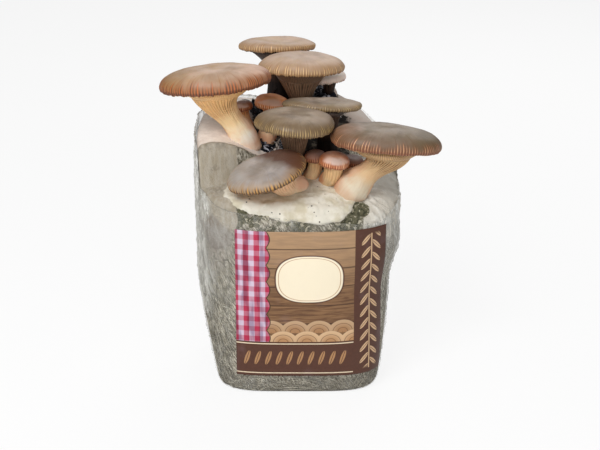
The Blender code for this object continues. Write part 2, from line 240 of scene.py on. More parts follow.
@dataclass
class Skin:
    """A grid of points with values on it, ready to become a mesh."""

    name: str
    points: np.ndarray
    around: bool = True
    close_start: bool = False
    close_end: bool = False

    def faces(self) -> list[tuple[int, ...]]:
        """Lists the grid's faces, and a fan at each end that is closed.

        Returns:
            The faces as tuples of point numbers.
        """
        rows, columns = self.points.shape[:2]
        steps = columns if self.around else columns - 1
        i, j = np.meshgrid(np.arange(rows - 1), np.arange(steps), indexing="ij")
        k = (j + 1) % columns
        low, high = i * columns, (i + 1) * columns
        quads = np.stack([low + j, low + k, high + k, high + j], axis=-1)
        made = [tuple(quad) for quad in quads.reshape(-1, 4).tolist()]
        last = (rows - 1) * columns
        tip = rows * columns
        if self.close_start:
            made += [((n + 1) % columns, n, tip) for n in range(columns)]
            tip += 1
        if self.close_end:
            made += [(last + n, last + (n + 1) % columns, tip) for n in range(columns)]
        return made

    def tipped(self, rows: np.ndarray) -> np.ndarray:
        """Adds a row for the middle of each end that is closed.

        Args:
            rows: One row for each point of the grid.

        Returns:
            The rows, with the mean of the first ring and of the last one after them.
        """
        wide = self.points.shape[1]
        ends = [rows[:wide]] * self.close_start + [rows[-wide:]] * self.close_end
        return np.concatenate([rows, *(end.mean(axis=0, keepdims=True) for end in ends)])

    def build(self, values: Mapping[str, np.ndarray]) -> bpy.types.Object:
        """Makes the mesh object.

        Args:
            values: For each name, a number or a vector at each point of the grid.

        Returns:
            The object, linked to the scene.
        """
        flat = self.points.reshape(-1, 3)
        listed = {name: self.tipped(value.reshape(len(flat), -1)) for name, value in values.items()}
        return meshed(self.name, self.tipped(flat), self.faces(), listed)


class Signal:
    """One output of a material's nodes. Arithmetic on it adds Math nodes."""

    def __init__(self, paint: "Paint", socket: bpy.types.NodeSocket) -> None:
        """Keeps the output and the material that it is in."""
        self.paint = paint
        self.socket = socket

    def __add__(self, other: "Signal | float") -> "Signal":
        """Adds."""
        return self.paint.maths("ADD", self, other)

    __radd__ = __add__

    def __sub__(self, other: "Signal | float") -> "Signal":
        """Subtracts."""
        return self.paint.maths("SUBTRACT", self, other)

    def __rsub__(self, other: float) -> "Signal":
        """Subtracts this from a number."""
        return self.paint.maths("SUBTRACT", other, self)

    def __mul__(self, other: "Signal | float") -> "Signal":
        """Multiplies."""
        return self.paint.maths("MULTIPLY", self, other)

    __rmul__ = __mul__

    def __truediv__(self, other: "Signal | float") -> "Signal":
        """Divides."""
        return self.paint.maths("DIVIDE", self, other)

    def __pow__(self, other: "Signal | float") -> "Signal":
        """Raises to a power."""
        return self.paint.maths("POWER", self, other)

    def __abs__(self) -> "Signal":
        """Takes the sign away."""
        return self.paint.maths("ABSOLUTE", self)


Tint = Colour | Signal


class Paint:
    """A material in the making."""

    def __init__(self, name: str) -> None:
        """Starts from a plain Principled BSDF.

        Args:
            name: The material's name.
        """
        self.material = bpy.data.materials.new(name)
        self.material.use_nodes = True
        self.tree = self.material.node_tree
        self.shader = self.tree.nodes["Principled BSDF"]

    def node(
        self,
        kind: str,
        settings: Mapping[str, object],
        values: Mapping[int | str, object],
        output: int | str = 0,
    ) -> Signal:
        """Adds a node.

        Args:
            kind: The node's type.
            settings: Its settings, set first. The stops of a ramp go under "stops".
            values: The value or signal for each of its inputs.
            output: Which output is wanted.

        Returns:
            That output.
        """
        made = self.tree.nodes.new(kind)
        for name, value in settings.items():
            if name == "stops":
                self._set_stops(made.color_ramp, value)
            else:
                setattr(made, name, value)
        for key, value in values.items():
            self.feed(made.inputs[key], value)
        return Signal(self, made.outputs[output])

    @staticmethod
    def _set_stops(ramp: bpy.types.ColorRamp, stops: Sequence[tuple[float, Colour]]) -> None:
        """Gives a ramp its stops.

        Args:
            ramp: The ramp.
            stops: The place and colour of each stop.
        """
        while len(ramp.elements) < len(stops):
            ramp.elements.new(1.0)
        for element, (place, colour) in zip(ramp.elements, stops):
            element.position = place
            element.color = (*colour, 1.0)

    def feed(self, socket: bpy.types.NodeSocket, value: object) -> None:
        """Sets or links an input.

        Args:
            socket: The input.
            value: A signal, a number, a vector or a colour.
        """
        if isinstance(value, Signal):
            self.tree.links.new(value.socket, socket)
        elif socket.type == "RGBA" and len(value) == 3:
            socket.default_value = (*value, 1.0)
        else:
            socket.default_value = value

    def maths(self, operation: str, *operands: Signal | float) -> Signal:
        """Adds a Math node."""
        return self.node("ShaderNodeMath", {"operation": operation}, dict(enumerate(operands)))

    def held(self, name: str) -> Signal:
        """A number stored on the mesh."""
        return self.node("ShaderNodeAttribute", {"attribute_name": name}, {}, "Fac")

    def held_vector(self, name: str) -> Signal:
        """A vector stored on the mesh."""
        return self.node("ShaderNodeAttribute", {"attribute_name": name}, {}, "Vector")

    def split(self, vector: Signal) -> tuple[Signal, Signal, Signal]:
        """The three parts of a vector.

        Args:
            vector: The vector.

        Returns:
            Its X, Y and Z.
        """
        first = self.node("ShaderNodeSeparateXYZ", {}, {0: vector})
        outputs = first.socket.node.outputs
        return first, Signal(self, outputs[1]), Signal(self, outputs[2])

    def join(self, x: Signal | float, y: Signal | float, z: Signal | float = 0.0) -> Signal:
        """A vector made of three parts."""
        return self.node("ShaderNodeCombineXYZ", {}, {0: x, 1: y, 2: z})

    def place(self) -> Signal:
        """The point on the piece, in millimetres."""
        return self.scaled(self.node("ShaderNodeTexCoord", {}, {}, "Object"), (1 / MM, 1 / MM, 1 / MM))

    def scaled(self, vector: Signal, by: Colour) -> Signal:
        """A vector with each part multiplied."""
        return self.node("ShaderNodeVectorMath", {"operation": "MULTIPLY"}, {0: vector, 1: by})

    def grain(self, vector: Signal, size: float, detail: float = 3.0, warp: float = 0.0) -> Signal:
        """Cloudy noise from 0 to 1.

        Args:
            vector: Where it is read.
            size: Size of a cloud, in the vector's unit.
            detail: How much finer noise is in it.
            warp: How far it is distorted.

        Returns:
            The noise.
        """
        values = {"Vector": vector, "Scale": 1 / size, "Detail": detail, "Distortion": warp}
        return self.node("ShaderNodeTexNoise", {}, values)

    def cells(self, vector: Signal, size: float, feature: str = "F1") -> Signal:
        """Distance to the nearest of scattered points, or to the border between two of them."""
        values = {"Vector": vector, "Scale": 1 / size}
        return self.node("ShaderNodeTexVoronoi", {"feature": feature}, values)

    def rise(self, value: Signal, low: float, high: float) -> Signal:
        """Rises smoothly from 0 at low to 1 at high, or falls where high is the lower one.

        Args:
            value: The signal to test.
            low: Where it is 0.
            high: Where it is 1.

        Returns:
            A signal from 0 to 1.
        """
        values = {"Value": value, "From Min": low, "From Max": high}
        return self.node("ShaderNodeMapRange", {"interpolation_type": "SMOOTHSTEP"}, values)

    def ramp(self, value: Signal, *stops: tuple[float, Colour]) -> Signal:
        """A colour for each value."""
        return self.node("ShaderNodeValToRGB", {"stops": stops}, {0: value})

    def blend(self, factor: Signal | float, under: Tint, over: Tint, kind: str = "MIX") -> Signal:
        """Mixes two colours.

        Args:
            factor: How much of the second one shows.
            under: The first colour.
            over: The second colour.
            kind: How they are mixed.

        Returns:
            The mixed colour.
        """
        settings = {"data_type": "RGBA", "blend_type": kind, "clamp_factor": True}
        return self.node("ShaderNodeMix", settings, {0: factor, 6: under, 7: over}, 2)

    def coat(self, colour: Tint, *coats: tuple[Signal | float, Tint]) -> Tint:
        """Lays colours over each other.

        Args:
            colour: The lowest one.
            coats: How much of each next colour shows, and the colour.

        Returns:
            The colour that is seen.
        """
        for factor, over in coats:
            colour = self.blend(factor, colour, over)
        return colour

    def relief(self, height: Signal, depth: float, strength: float = 1.0) -> Signal:
        """Bumps of a depth in millimetres."""
        values = {"Height": height, "Distance": depth * MM, "Strength": strength}
        return self.node("ShaderNodeBump", {}, values)

    def finish(self, **values: object) -> bpy.types.Material:
        """Sets the shader's inputs.

        Args:
            values: Each input by its name, with _ for a space.

        Returns:
            The finished material.
        """
        for name, value in values.items():
            self.feed(self.shader.inputs[name.replace("_", " ")], value)
        return self.material


def seat(piece: bpy.types.Object, node: str, slot: str, material: bpy.types.Material) -> None:
    """Gives a piece its material and makes it stand for a node.

    Args:
        piece: The piece.
        node: The node that it stands for.
        slot: Not used.
        material: The finish.
    """
    piece.data.materials.append(material)
    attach(piece, "root")
    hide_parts(node)
    log.info("%s: %d faces for %s", piece.name, len(piece.data.polygons), node)


@dataclass(frozen=True)
class BagForm:
    """The tapering, rounded form that the block, the film and the label share."""

    width: float = 175.0
    depth: float = 160.0
    body_width: float = 167.0
    body_depth: float = 156.0
    body_left: float = 3.5
    base_width: float = 142.0
    base_depth: float = 134.0
    base_round: float = 5.0
    swell_height: float = 100.0
    swell_power: float = 1.5
    base_corner: float = 4.6
    top_corner: float = 2.9
    shoulder_low: float = 90.0
    shoulder_high: float = 132.0
    shoulder_right: float = 1.0
    top: float = 185.0
    fall_right: float = 7.0
    rise_back: float = 6.0
    plateau_rise: float = 34.0
    plateau_right: float = 5.0
    plateau_left: float = -75.0
    plateau_front: float = 30.0
    plateau_slant: float = 0.25
    plateau_step: float = 10.0
    mound_height: float = 48.0
    mound_x: float = 24.0
    mound_y: float = 64.0
    mound_width: float = 61.0
    mound_depth: float = 44.0
    edge_drop: float = 7.0
    edge_drop_right: float = 5.0
    edge_drop_front: float = 4.0
    mouth_stand: float = 2.5
    mouth_cut: float = 4.0
    mouth_cut_from: float = 50.0
    mouth_cut_to: float = 66.0

    def angles(self, count: int) -> np.ndarray:
        """Angles at even steps of length round the shoulder.

        Args:
            count: How many.

        Returns:
            The angles, from the right side round by the back.
        """
        turn = np.linspace(0.0, math.tau, FINE_STEPS)
        length = walked(*self.outline(self.width / 2, self.depth / 2, self.top_corner, turn))
        return np.interp(np.arange(count) * length[-1] / count, length, turn)

    @staticmethod
    def outline(
        half_width: np.ndarray | float,
        half_depth: np.ndarray | float,
        power: np.ndarray | float,
        angle: np.ndarray,
    ) -> tuple[np.ndarray, np.ndarray]:
        """Points of a rounded rectangle.

        Args:
            half_width: Half its width.
            half_depth: Half its depth.
            power: How square its corners are, from 2 for an ellipse.
            angle: The angles.

        Returns:
            X and Y.
        """
        c, s = np.cos(angle), np.sin(angle)
        x = np.sign(c) * np.abs(c) ** (2 / power) * half_width
        y = np.sign(s) * np.abs(s) ** (2 / power) * half_depth
        return x, y

    def section(self, height: np.ndarray, grow: float) -> tuple[np.ndarray, ...]:
        """The wall's outline at each height.

        Args:
            height: The heights.
            grow: How far it is grown outwards.

        Returns:
            Its middle in X, half its width, half its depth and its power.
        """
        swell = 1 - np.maximum(0.0, 1 - height / self.swell_height) ** self.swell_power
        shoulder = fade(height, self.shoulder_low, self.shoulder_high)
        low = np.maximum(0.0, self.base_round - height)
        tuck = self.base_round - np.sqrt(np.maximum(0.0, self.base_round**2 - low**2))
        width = self.base_width + (self.body_width - self.base_width) * swell
        width = width + (self.width - self.body_width) * shoulder
        depth = self.base_depth + (self.body_depth - self.base_depth) * swell
        depth = depth + (self.depth - self.body_depth) * shoulder
        power = self.base_corner + (self.top_corner - self.base_corner) * swell
        middle = self.shoulder_right * shoulder - self.body_left * (1 - shoulder) * swell**2
        return middle, width / 2 - tuck + grow, depth / 2 - tuck + grow, power

    def wall(self, height: np.ndarray, angle: np.ndarray, grow: float) -> np.ndarray:
        """Points of the wall.

        Args:
            height: A height for each point.
            angle: An angle for each point.
            grow: How far the wall is grown outwards.

        Returns:
            The points.
        """
        middle, half_width, half_depth, power = self.section(height, grow)
        x, y = self.outline(half_width, half_depth, power, angle)
        return np.stack([middle + x, y, height], axis=-1)

    def sleeve(
        self, angle: np.ndarray, foot: float, shares: Sequence[float], climb: np.ndarray, top: np.ndarray, inset: float
    ) -> np.ndarray:
        """Rings from under the middle out to the foot, and up the wall.

        Args:
            angle: The angles of the columns.
            foot: Height of the lowest rings.
            shares: How far out each ring under the foot is.
            climb: How far up each ring of the wall is, from 0 to 1.
            top: Height of the last ring at each angle.
            inset: How far it lies inside the form.

        Returns:
            The rings, one row of points each.
        """
        ground = self.wall(np.full_like(angle, foot), angle, -inset)
        under = [ground * np.array([share, share, 1.0]) for share in shares]
        wall = self.wall(foot + climb * (top - foot), angle + 0 * climb, -inset)
        return np.concatenate([*under, wall])

    def top_at(self, x: np.ndarray, y: np.ndarray, edge: np.ndarray | float) -> np.ndarray:
        """Height of the block's top.

        Args:
            x: X of each point.
            y: Y of each point.
            edge: 0 at the middle and 1 at the wall.

        Returns:
            The heights.
        """
        u, v = x / (self.width / 2), y / (self.depth / 2)
        level = self.top - self.fall_right * np.maximum(0.0, u) + self.rise_back * v
        front = self.plateau_front - self.plateau_slant * (x + self.width / 4)
        in_front = fade(-y, front - self.plateau_step / 2, front + self.plateau_step / 2)
        plateau = self.plateau_rise * fade(-x, -self.plateau_right, -self.plateau_left) * (1 - in_front)
        away = ((x - self.mound_x) / self.mound_width) ** 2 + ((y - self.mound_y) / self.mound_depth) ** 2
        mound = self.mound_height * np.exp(-away)
        drop = (self.edge_drop + self.edge_drop_right * u - self.edge_drop_front * v) * edge**6
        return level + plateau + mound - drop

    def mouth(self, angle: np.ndarray) -> np.ndarray:
        """Height of the film's cut edge.

        Args:
            angle: The angles.

        Returns:
            The heights.
        """
        edge = self.wall(np.full_like(angle, self.shoulder_high), angle, 0.0)
        in_front = fade(-edge[..., 1], self.mouth_cut_from, self.mouth_cut_to)
        stand = self.mouth_stand - (self.mouth_stand + self.mouth_cut) * in_front
        return self.top_at(edge[..., 0], edge[..., 1], 1.0) + stand


@dataclass(frozen=True)
class Patch:
    """A round patch of something that grows on the block."""

    x: float
    y: float
    z: float
    radius: float
    tall: float = 1.0

    def on(self, points: np.ndarray, ragged: np.ndarray) -> np.ndarray:
        """How much of the patch is at each point.

        Args:
            points: The points.
            ragged: Grain that tears its border.

        Returns:
            Values from 0 to 1.
        """
        away = np.linalg.norm(points - np.array([self.x, self.y, self.z]), axis=-1) / self.radius
        return fade(1 - away + 0.45 * ragged, 0.0, 0.35)


@dataclass(frozen=True)
class BlockFinish:
    """Colours of the block: straw at the sides, and mycelium of several ages on top, with painted shade in the pockets
    between the stems.
    """

    straw_dark: Colour = dye(78, 72, 60)
    straw: Colour = dye(150, 143, 126)
    straw_pale: Colour = dye(214, 208, 192)
    veil: Colour = dye(150, 142, 134)
    mat: Colour = dye(216, 211, 197)
    mat_shade: Colour = dye(196, 188, 166)
    skin: Colour = dye(234, 225, 216)
    skin_shade: Colour = dye(210, 198, 188)
    cliff: Colour = dye(170, 162, 148)
    cliff_dark: Colour = dye(158, 148, 130)
    moss: Colour = dye(98, 95, 74)
    moss_dark: Colour = dye(60, 60, 44)
    # The dark patches on the top: near-black painted shade, with pale threads of mycelium.
    torn: Colour = dye(18, 18, 30)
    shreds_pale: Colour = dye(206, 206, 214)
    mound: Colour = dye(202, 182, 168)
    speck: Colour = dye(52, 42, 36)
    # Near-black painted shade for the pockets between the stems and the patch shaded by the left cap.
    hollow: Colour = dye(22, 17, 16)
    lump: Colour = dye(120, 111, 104)
    drape: Colour = dye(212, 207, 195)
    # Paler along the drape's crease ridges: partly crease whitening, partly painted highlight.
    drape_crease_white_and_sheen: Colour = dye(232, 229, 220)

    def straw_material(self) -> bpy.types.Material:
        """The finish of the loose straws.

        Returns:
            The material.
        """
        paint = Paint("straws")
        tone = paint.held("tone")
        fibre = paint.grain(paint.scaled(paint.place(), (1.0, 1.0, 3.0)), 1.1, 4.0)
        colour = paint.ramp(tone, (0.1, self.straw_dark), (0.5, self.straw), (0.95, self.straw_pale))
        colour = paint.blend(paint.rise(fibre, 0.4, 0.7) * 0.35, colour, self.straw_pale)
        return paint.finish(Base_Color=colour, Roughness=0.7 + 0.2 * fibre, Normal=paint.relief(fibre, 0.3))

    def block_material(self) -> bpy.types.Material:
        """The finish of the block.

        Returns:
            The material.
        """
        paint = Paint("straw_and_mycelium")
        place = paint.place()
        coarse = paint.grain(place, 14.0, 4.0)
        fine = paint.grain(place, 2.2, 5.0)
        fibre = paint.grain(paint.scaled(paint.held_vector("slant"), (1.0, 1.0, 0.3)), 1.4, 5.0, 1.0)
        strands = paint.grain(paint.scaled(place, (0.6, 1.3, 0.8)), 6.0, 4.0, 1.0)
        curd = paint.grain(place, 4.5, 4.0, 0.8)
        runs = paint.grain(paint.scaled(place, (1.0, 1.0, 0.1)), 3.4, 5.0)
        drape = paint.held("drape")
        mossy = paint.coat(
            self.moss_dark,
            (paint.rise(fine, 0.35, 0.6), self.moss),
            (paint.rise(curd, 0.55, 0.64) * 0.8, self.mat_shade),
        )
        # The drape turns pale along its crease ridges: partly crease whitening, partly painted highlight.
        sheet = paint.blend(paint.rise(drape + (fibre - 0.5) * 0.6, 0.75, 1.3), self.drape, self.drape_crease_white_and_sheen)
        skin = paint.blend(paint.rise(coarse + fine * 0.3, 0.45, 0.85), self.skin_shade, self.skin)
        cliff = paint.blend(paint.rise(runs * 0.8 + coarse * 0.3, 0.42, 0.68), self.cliff_dark, self.cliff)
        mat = paint.blend(paint.rise(coarse * 0.9 + fine * 0.15, 0.4, 0.58), self.mat_shade, self.mat)
        mound = paint.blend(paint.rise(coarse, 0.35, 0.7), self.skin_shade, self.mound)
        threads = paint.rise(strands + (fine - 0.5) * 0.3, 0.5, 0.66) * 0.4
        # Painted shade in the pockets, with a few paler threads.
        shade_colour = paint.blend(threads, self.hollow, self.cliff_dark)
        # The dark patches: painted shade with pale threads.
        torn = paint.blend(paint.rise(strands, 0.56, 0.64), self.torn, self.shreds_pale)
        veil = paint.held("veil") + (coarse - 0.5) * 0.9 + (fibre - 0.5) * 0.5
        crest = paint.held("crest") * paint.rise(paint.grain(place, 5.0, 3.0), 0.35, 0.6)
        lump = paint.held("lump") + (coarse - 0.5) * 0.8
        border = paint.rise(abs(lump - 0.25), 0.2, 0.02) * paint.rise(fine, 0.4, 0.6)
        specks = paint.rise(paint.cells(place, 4.2), 0.2, 0.12) * paint.rise(paint.held("mat"), 0.5, 0.9)
        colour = paint.coat(
            paint.ramp(fibre, (0.36, self.straw_dark), (0.5, self.straw), (0.62, self.straw_pale)),
            (paint.rise(coarse, 0.62, 0.4) * 0.35, self.straw_dark),
            (paint.rise(veil, 0.3, 0.9) * 0.7, self.veil),
            (paint.rise(drape, 0.2, 0.6) * 0.85, sheet),
            (paint.rise(paint.held("moss") + (fine - 0.5) * 0.9, 0.35, 0.65), mossy),
            (paint.rise(paint.held("skin") + (coarse - 0.5) * 0.2, 0.35, 0.6), skin),
            (paint.rise(paint.held("cliff"), 0.35, 0.65), cliff),
            (crest * 0.55, self.straw_dark),
            (border * 0.5, self.straw_dark),
            (paint.rise(lump, 0.3, 0.7) * 0.7, self.lump),
            (paint.rise(paint.held("mat") + (fine - 0.5) * 0.5, 0.4, 0.56), mat),
            (paint.rise(paint.held("mound"), 0.3, 0.7), mound),
            # painted shade in the pockets between the stems
            (paint.rise(paint.held("hollow") + (fine - 0.5) * 0.8, 0.25, 0.6) * 0.97, shade_colour),
            # dark patches painted as shade
            (paint.rise(paint.held("torn") + (strands - 0.5) * 0.8, 0.35, 0.6), torn),
            (specks * paint.rise(coarse, 0.5, 0.56), self.speck),
            # Darker towards the bottom, with painted contact shadow at the foot.
            (paint.held("damp") * 0.6, self.straw_dark),
        )
        smooth = paint.held("skin")
        for name in ("mound", "mat"):
            smooth = paint.maths("MAXIMUM", smooth, paint.held(name))
        height = (fibre * 0.6 + fine * 0.5) * (1.0 - 0.75 * smooth)
        return paint.finish(
            Base_Color=colour,
            Roughness=0.62 + 0.3 * fine - 0.35 * drape,
            Specular_IOR_Level=0.25,
            Normal=paint.relief(height, 1.2),
        )

    def tatter_material(self) -> bpy.types.Material:
        """The finish of the tatters.

        Returns:
            The material.
        """
        paint = Paint("tatters")
        cloud = paint.grain(paint.place(), 3.0, 3.0)
        # The darkest stop is painted shade.
        stops = ((0.4, self.torn), (0.52, self.moss), (0.64, self.skin_shade), (0.8, self.shreds_pale))
        colour = paint.ramp(paint.held("tone"), *stops)
        return paint.finish(Base_Color=colour, Roughness=0.35 + 0.3 * cloud, Normal=paint.relief(cloud, 0.3))


@dataclass(frozen=True)
class Block:
    """The block of straw, grown through with mycelium."""

    form: BagForm
    finish: BlockFinish
    inset: float = 1.3
    columns: int = 440
    wall_rows: int = 104
    top_rows: int = 66
    straws: int = 5400
    straw_rings: int = 5
    tatters: int = 44
    tatter_rings: int = 7
    foot: float = 0.4
    under: tuple[float, ...] = (0.5, 0.8, 0.95)
    turn_rows: int = 6
    grain_lean: float = 0.62
    mat_height: float = 160.5
    mat_left: float = 60.0
    mat_right: float = 51.0
    mat_top: float = 188.0
    drape_middle: Spot = (36.0, -46.0, 0.0)
    # Where shade is painted on the block's top: the pockets between the stems, and the patch shaded by the left cap.
    painted_shade_x: tuple[float, ...] = (-22.0, -10.0, 36.0, 54.0)
    painted_shade_y: tuple[float, ...] = (-24.0, -10.0, 48.0, 62.0)
    painted_shade_top: tuple[float, ...] = (210.0, 228.0)
    shaded_x: tuple[float, ...] = (-46.0, -32.0, 6.0, 14.0)
    shaded_y: tuple[float, ...] = (4.0, 16.0, 60.0, 76.0)
    pressed_z: tuple[float, ...] = (14.0, 20.0, 149.0, 153.0)
    lump: Patch = Patch(-66, -61, 145, 17)
    hump: Patch = Patch(20, 57, 233, 17)
    # Dark patches on the top, painted as shade, with tatters standing in them; the tall last one fills a shaded gap
    # between the caps at the back left.
    shade_shred_patches: tuple[Patch, ...] = (
        Patch(-23, 4, 201, 14),
        Patch(-11, 10, 200, 12),
        Patch(18, 54, 234, 15),
        Patch(32, 46, 230, 10),
        Patch(2, 40, 224, 10),
        Patch(-30, 44, 223, 13, 1.5),
    )
    mosses: tuple[Patch, ...] = (
        Patch(-47, -73, 164, 11),
        Patch(-36, -77, 160, 7),
        Patch(-26, -77, 169, 5),
        Patch(54, -64, 166, 7),
    )

    def surface(self) -> tuple[np.ndarray, np.ndarray]:
        """The block's smooth surface, from under its middle, up the wall and in over the top.

        Returns:
            The points, and how far each is from the middle of the top: 0 in the middle and 1 on the wall.
        """
        form = self.form
        angle = form.angles(self.columns)[None, :]
        rim = form.wall(np.full_like(angle, form.shoulder_high), angle, -self.inset)
        top = form.top_at(rim[..., 0], rim[..., 1], 1.0)
        climb = np.linspace(0.0, 1.0, self.wall_rows)[:, None] ** 0.9
        sleeve = form.sleeve(angle, self.foot, self.under, climb, top, self.inset)
        inward = np.linspace(1.0, 0.02, self.top_rows + 1)[1:, None]
        x, y = rim[..., 0] * inward, rim[..., 1] * inward
        over = np.stack([x, y, form.top_at(x, y, inward + 0 * x)], axis=-1)
        points = np.concatenate([sleeve, over])
        turn = len(sleeve)
        edge = np.concatenate([np.ones(turn), inward[:, 0]])
        for _ in range(self.turn_rows):
            band = points[turn - self.turn_rows : turn + self.turn_rows - 1]
            eased = (band[:-2] + 2 * band[1:-1] + band[2:]) / 4
            points[turn - self.turn_rows + 1 : turn + self.turn_rows - 2] = eased
        return points, edge[:, None] + 0 * points[..., 0]

    def grown(self, points: np.ndarray, edge: np.ndarray) -> dict[str, np.ndarray]:
        """Works out what grows where, and where shade is painted.

        Args:
            points: The smooth surface.
            edge: How far each point is from the middle of the top.

        Returns:
            For each kind of growth and for the painted shade, how much of it is at each point.
        """
        grain = Grain(11)
        form = self.form
        x, y, z = np.moveaxis(points, -1, 0)
        ragged = grain.layered(points, 9.0, 4)
        broad = grain.layered(points, 26.0, 3)
        on_top = fade(z - form.top_at(x, y, edge), -8.0, -2.0)
        lip = self.mat_height + 2.5 * broad + 3.0 * ragged
        lip = lip + 0.0028 * (x - 16) ** 2 + 0.06 * np.maximum(0.0, x - 35) ** 2
        right = self.mat_right + 3.0 * ragged
        left = self.mat_left + 4.0 * ragged
        ceiling = self.mat_top - 0.55 * np.maximum(0.0, -x - 38.0) + 2 * ragged
        mat = fade(-y, 4.0, 22.0) * between(z, lip - 1.0, lip + 1.0, ceiling, ceiling + 5.0)
        mat = mat * (1 - fade(x, right, right + 4)) * (1 - fade(-x, left, left + 3))
        front = form.plateau_front - form.plateau_slant * (x + form.width / 4)
        behind = 1 - fade(-y - front + ragged, -7.5, -4.5)
        cliff = (1 - behind) * fade(-x, 46.0 + 2 * ragged, 54.0 + 2 * ragged) * fade(z, 146.0, 156.0)
        crest = np.exp(-(((-y - front + 4.6 + ragged) / 1.3) ** 2))
        bare = fade(-y, 50.0, 62.0) * between(z, 148.0, 153.0, lip - 2.0, lip + 1.0)
        bare = bare * (1 - fade(-x, 46.0, 56.0)) * (1 - 0.8 * fade(x, 44.0, 58.0))
        moss = bare * fade(ragged + broad, -0.9, 0.0)
        drape = fade(x, right, right + 6) * (1 - fade(y, 4.0, 20.0)) * fade(z, 120.0, 160.0)
        pale = fade(z + 12 * broad, 74.0, 124.0) * (0.35 + 0.45 * fade(-x, 40.0, 70.0)) + 0.5 * drape
        lump = self.lump.on(points, 0.6 * ragged)
        # Painted shade: the pockets between the stems, and the patch under the left cap, are darkened as if in shadow.
        hollow = fade(x + 5 * ragged, *self.painted_shade_x[:2]) * (1 - fade(x + 9 * ragged, *self.painted_shade_x[2:]))
        hollow = hollow * fade(y, *self.painted_shade_y[:2]) * (1 - fade(y + 6 * ragged, *self.painted_shade_y[2:]))
        hollow = hollow * (1 - fade(z + 6 * ragged, *self.painted_shade_top))
        shaded = between(x, *self.shaded_x) * between(y, *self.shaded_y)
        fields = {
            "mat": mat,
            "skin": behind * fade(-x, 0.0, 16.0) * on_top,
            "cliff": cliff,
            "mound": fade(x, 8.0, 26.0) * fade(z, 190.0, 202.0) * fade(y, -4.0, 14.0) * on_top,
            "torn": sum(patch.on(points, ragged) for patch in self.shade_shred_patches),
            "moss": moss + sum(patch.on(points, ragged) for patch in self.mosses),
            "drape": drape,
            "crest": crest * fade(-x, 34.0, 50.0) * fade(z, 196.0, 200.0),
            "hollow": hollow + shaded * on_top,
        }
        return {name: np.clip(field, 0, 1) for name, field in fields.items()} | {
            "veil": np.clip(pale + lump, 0, 1.2),
            "lump": lump,
            "hump": self.hump.on(points, 0.3 * ragged),
            # Darker towards the bottom, with painted contact shadow in the last few millimetres above the floor.
            "damp": 0.95 - 0.95 * fade(z, 2.0, 26.0 + 10 * broad) + 0.7 * (1 - fade(z, 1.0, 4.0)),
        }

    def build(self) -> None:
        """Makes the block, the straws that stand out from its wall and the tatters on its top."""
        points, edge = self.surface()
        growth = self.grown(points, edge)
        height = self.relief(points, edge, growth)
        points = points + normals(points, around=True) * height[..., None]
        growth["slant"] = twisted(points, self.grain_lean)
        block = Skin("straw_block", points, close_start=True, close_end=True).build(growth)
        for piece, material in (
            (block, self.finish.block_material()),
            (self.straw_piece(), self.finish.straw_material()),
            (self.tatter_piece(), self.finish.tatter_material()),
        ):
            seat(piece, "substrate_block", "substrate", material)

    def relief(self, points: np.ndarray, edge: np.ndarray, growth: dict[str, np.ndarray]) -> np.ndarray:
        """Works out how far the surface stands out, and draws the drape's creases.

        Args:
            points: The smooth surface.
            edge: How far each point is from the middle of the top.
            growth: How much of each kind of growth is at each point. The hump is taken out of it, and the drape is
                changed in it.

        Returns:
            The height of each point over the smooth surface.
        """
        grain = Grain(12)
        x, y, z = np.moveaxis(points, -1, 0)
        lumps = 1.1 * grain.layered(points, 15.0, 3) + 0.5 * grain.layered(points, 3.0, 3)
        free = fade(z - self.form.top_at(x, y, edge), -12.0, -6.0)
        under_film = 1 - np.maximum(growth["mat"], free)
        height = lumps * (1 - 0.7 * under_film) * (1 - 0.6 * np.maximum(growth["skin"], growth["mound"]))
        height -= 0.4 * under_film
        folds = grain.layered(points, (34.0, 12.0, 5.5), 2)
        dough = np.abs(grain.layered(points + 40, (18.0, 14.0, 8.0), 2))
        height += growth["mat"] * (2.0 + 2.3 * folds - 1.8 * dough + 0.4 * grain.layered(points, 3.0, 2))
        height += 2.2 * growth["torn"] * grain.layered(points, (3.0, 9.0, 5.0), 3)
        height -= 1.2 * growth["moss"] * (1 + grain.layered(points, 4.0, 2))
        east, north, _ = np.moveaxis(points - np.array(self.drape_middle), -1, 0)
        fan = np.stack([np.arctan2(north, east) * 34.0, np.hypot(east, north) * 0.2, z * 0.2], axis=-1)
        crease = 1 - np.abs(grain.layered(fan, 6.0, 2))
        # The drape's mask is strongest on crease ridges, where its colour turns pale as crease whitening and painted
        # highlight.
        growth["drape"] = growth["drape"] * (0.6 + 0.7 * crease**6)
        height += growth["drape"] * (1.5 * crease**5 - 0.3)
        height += 1.6 * growth["lump"] + growth.pop("hump") * (5.0 + 2.0 * grain.layered(points, 5.0, 2))
        height *= fade(z, 0.0, 8.0)
        pressed = fade(-y, 20.0, 50.0) * fade(x, -58.0, -51.0) * between(z, *self.pressed_z)
        return height + 0.9 * pressed

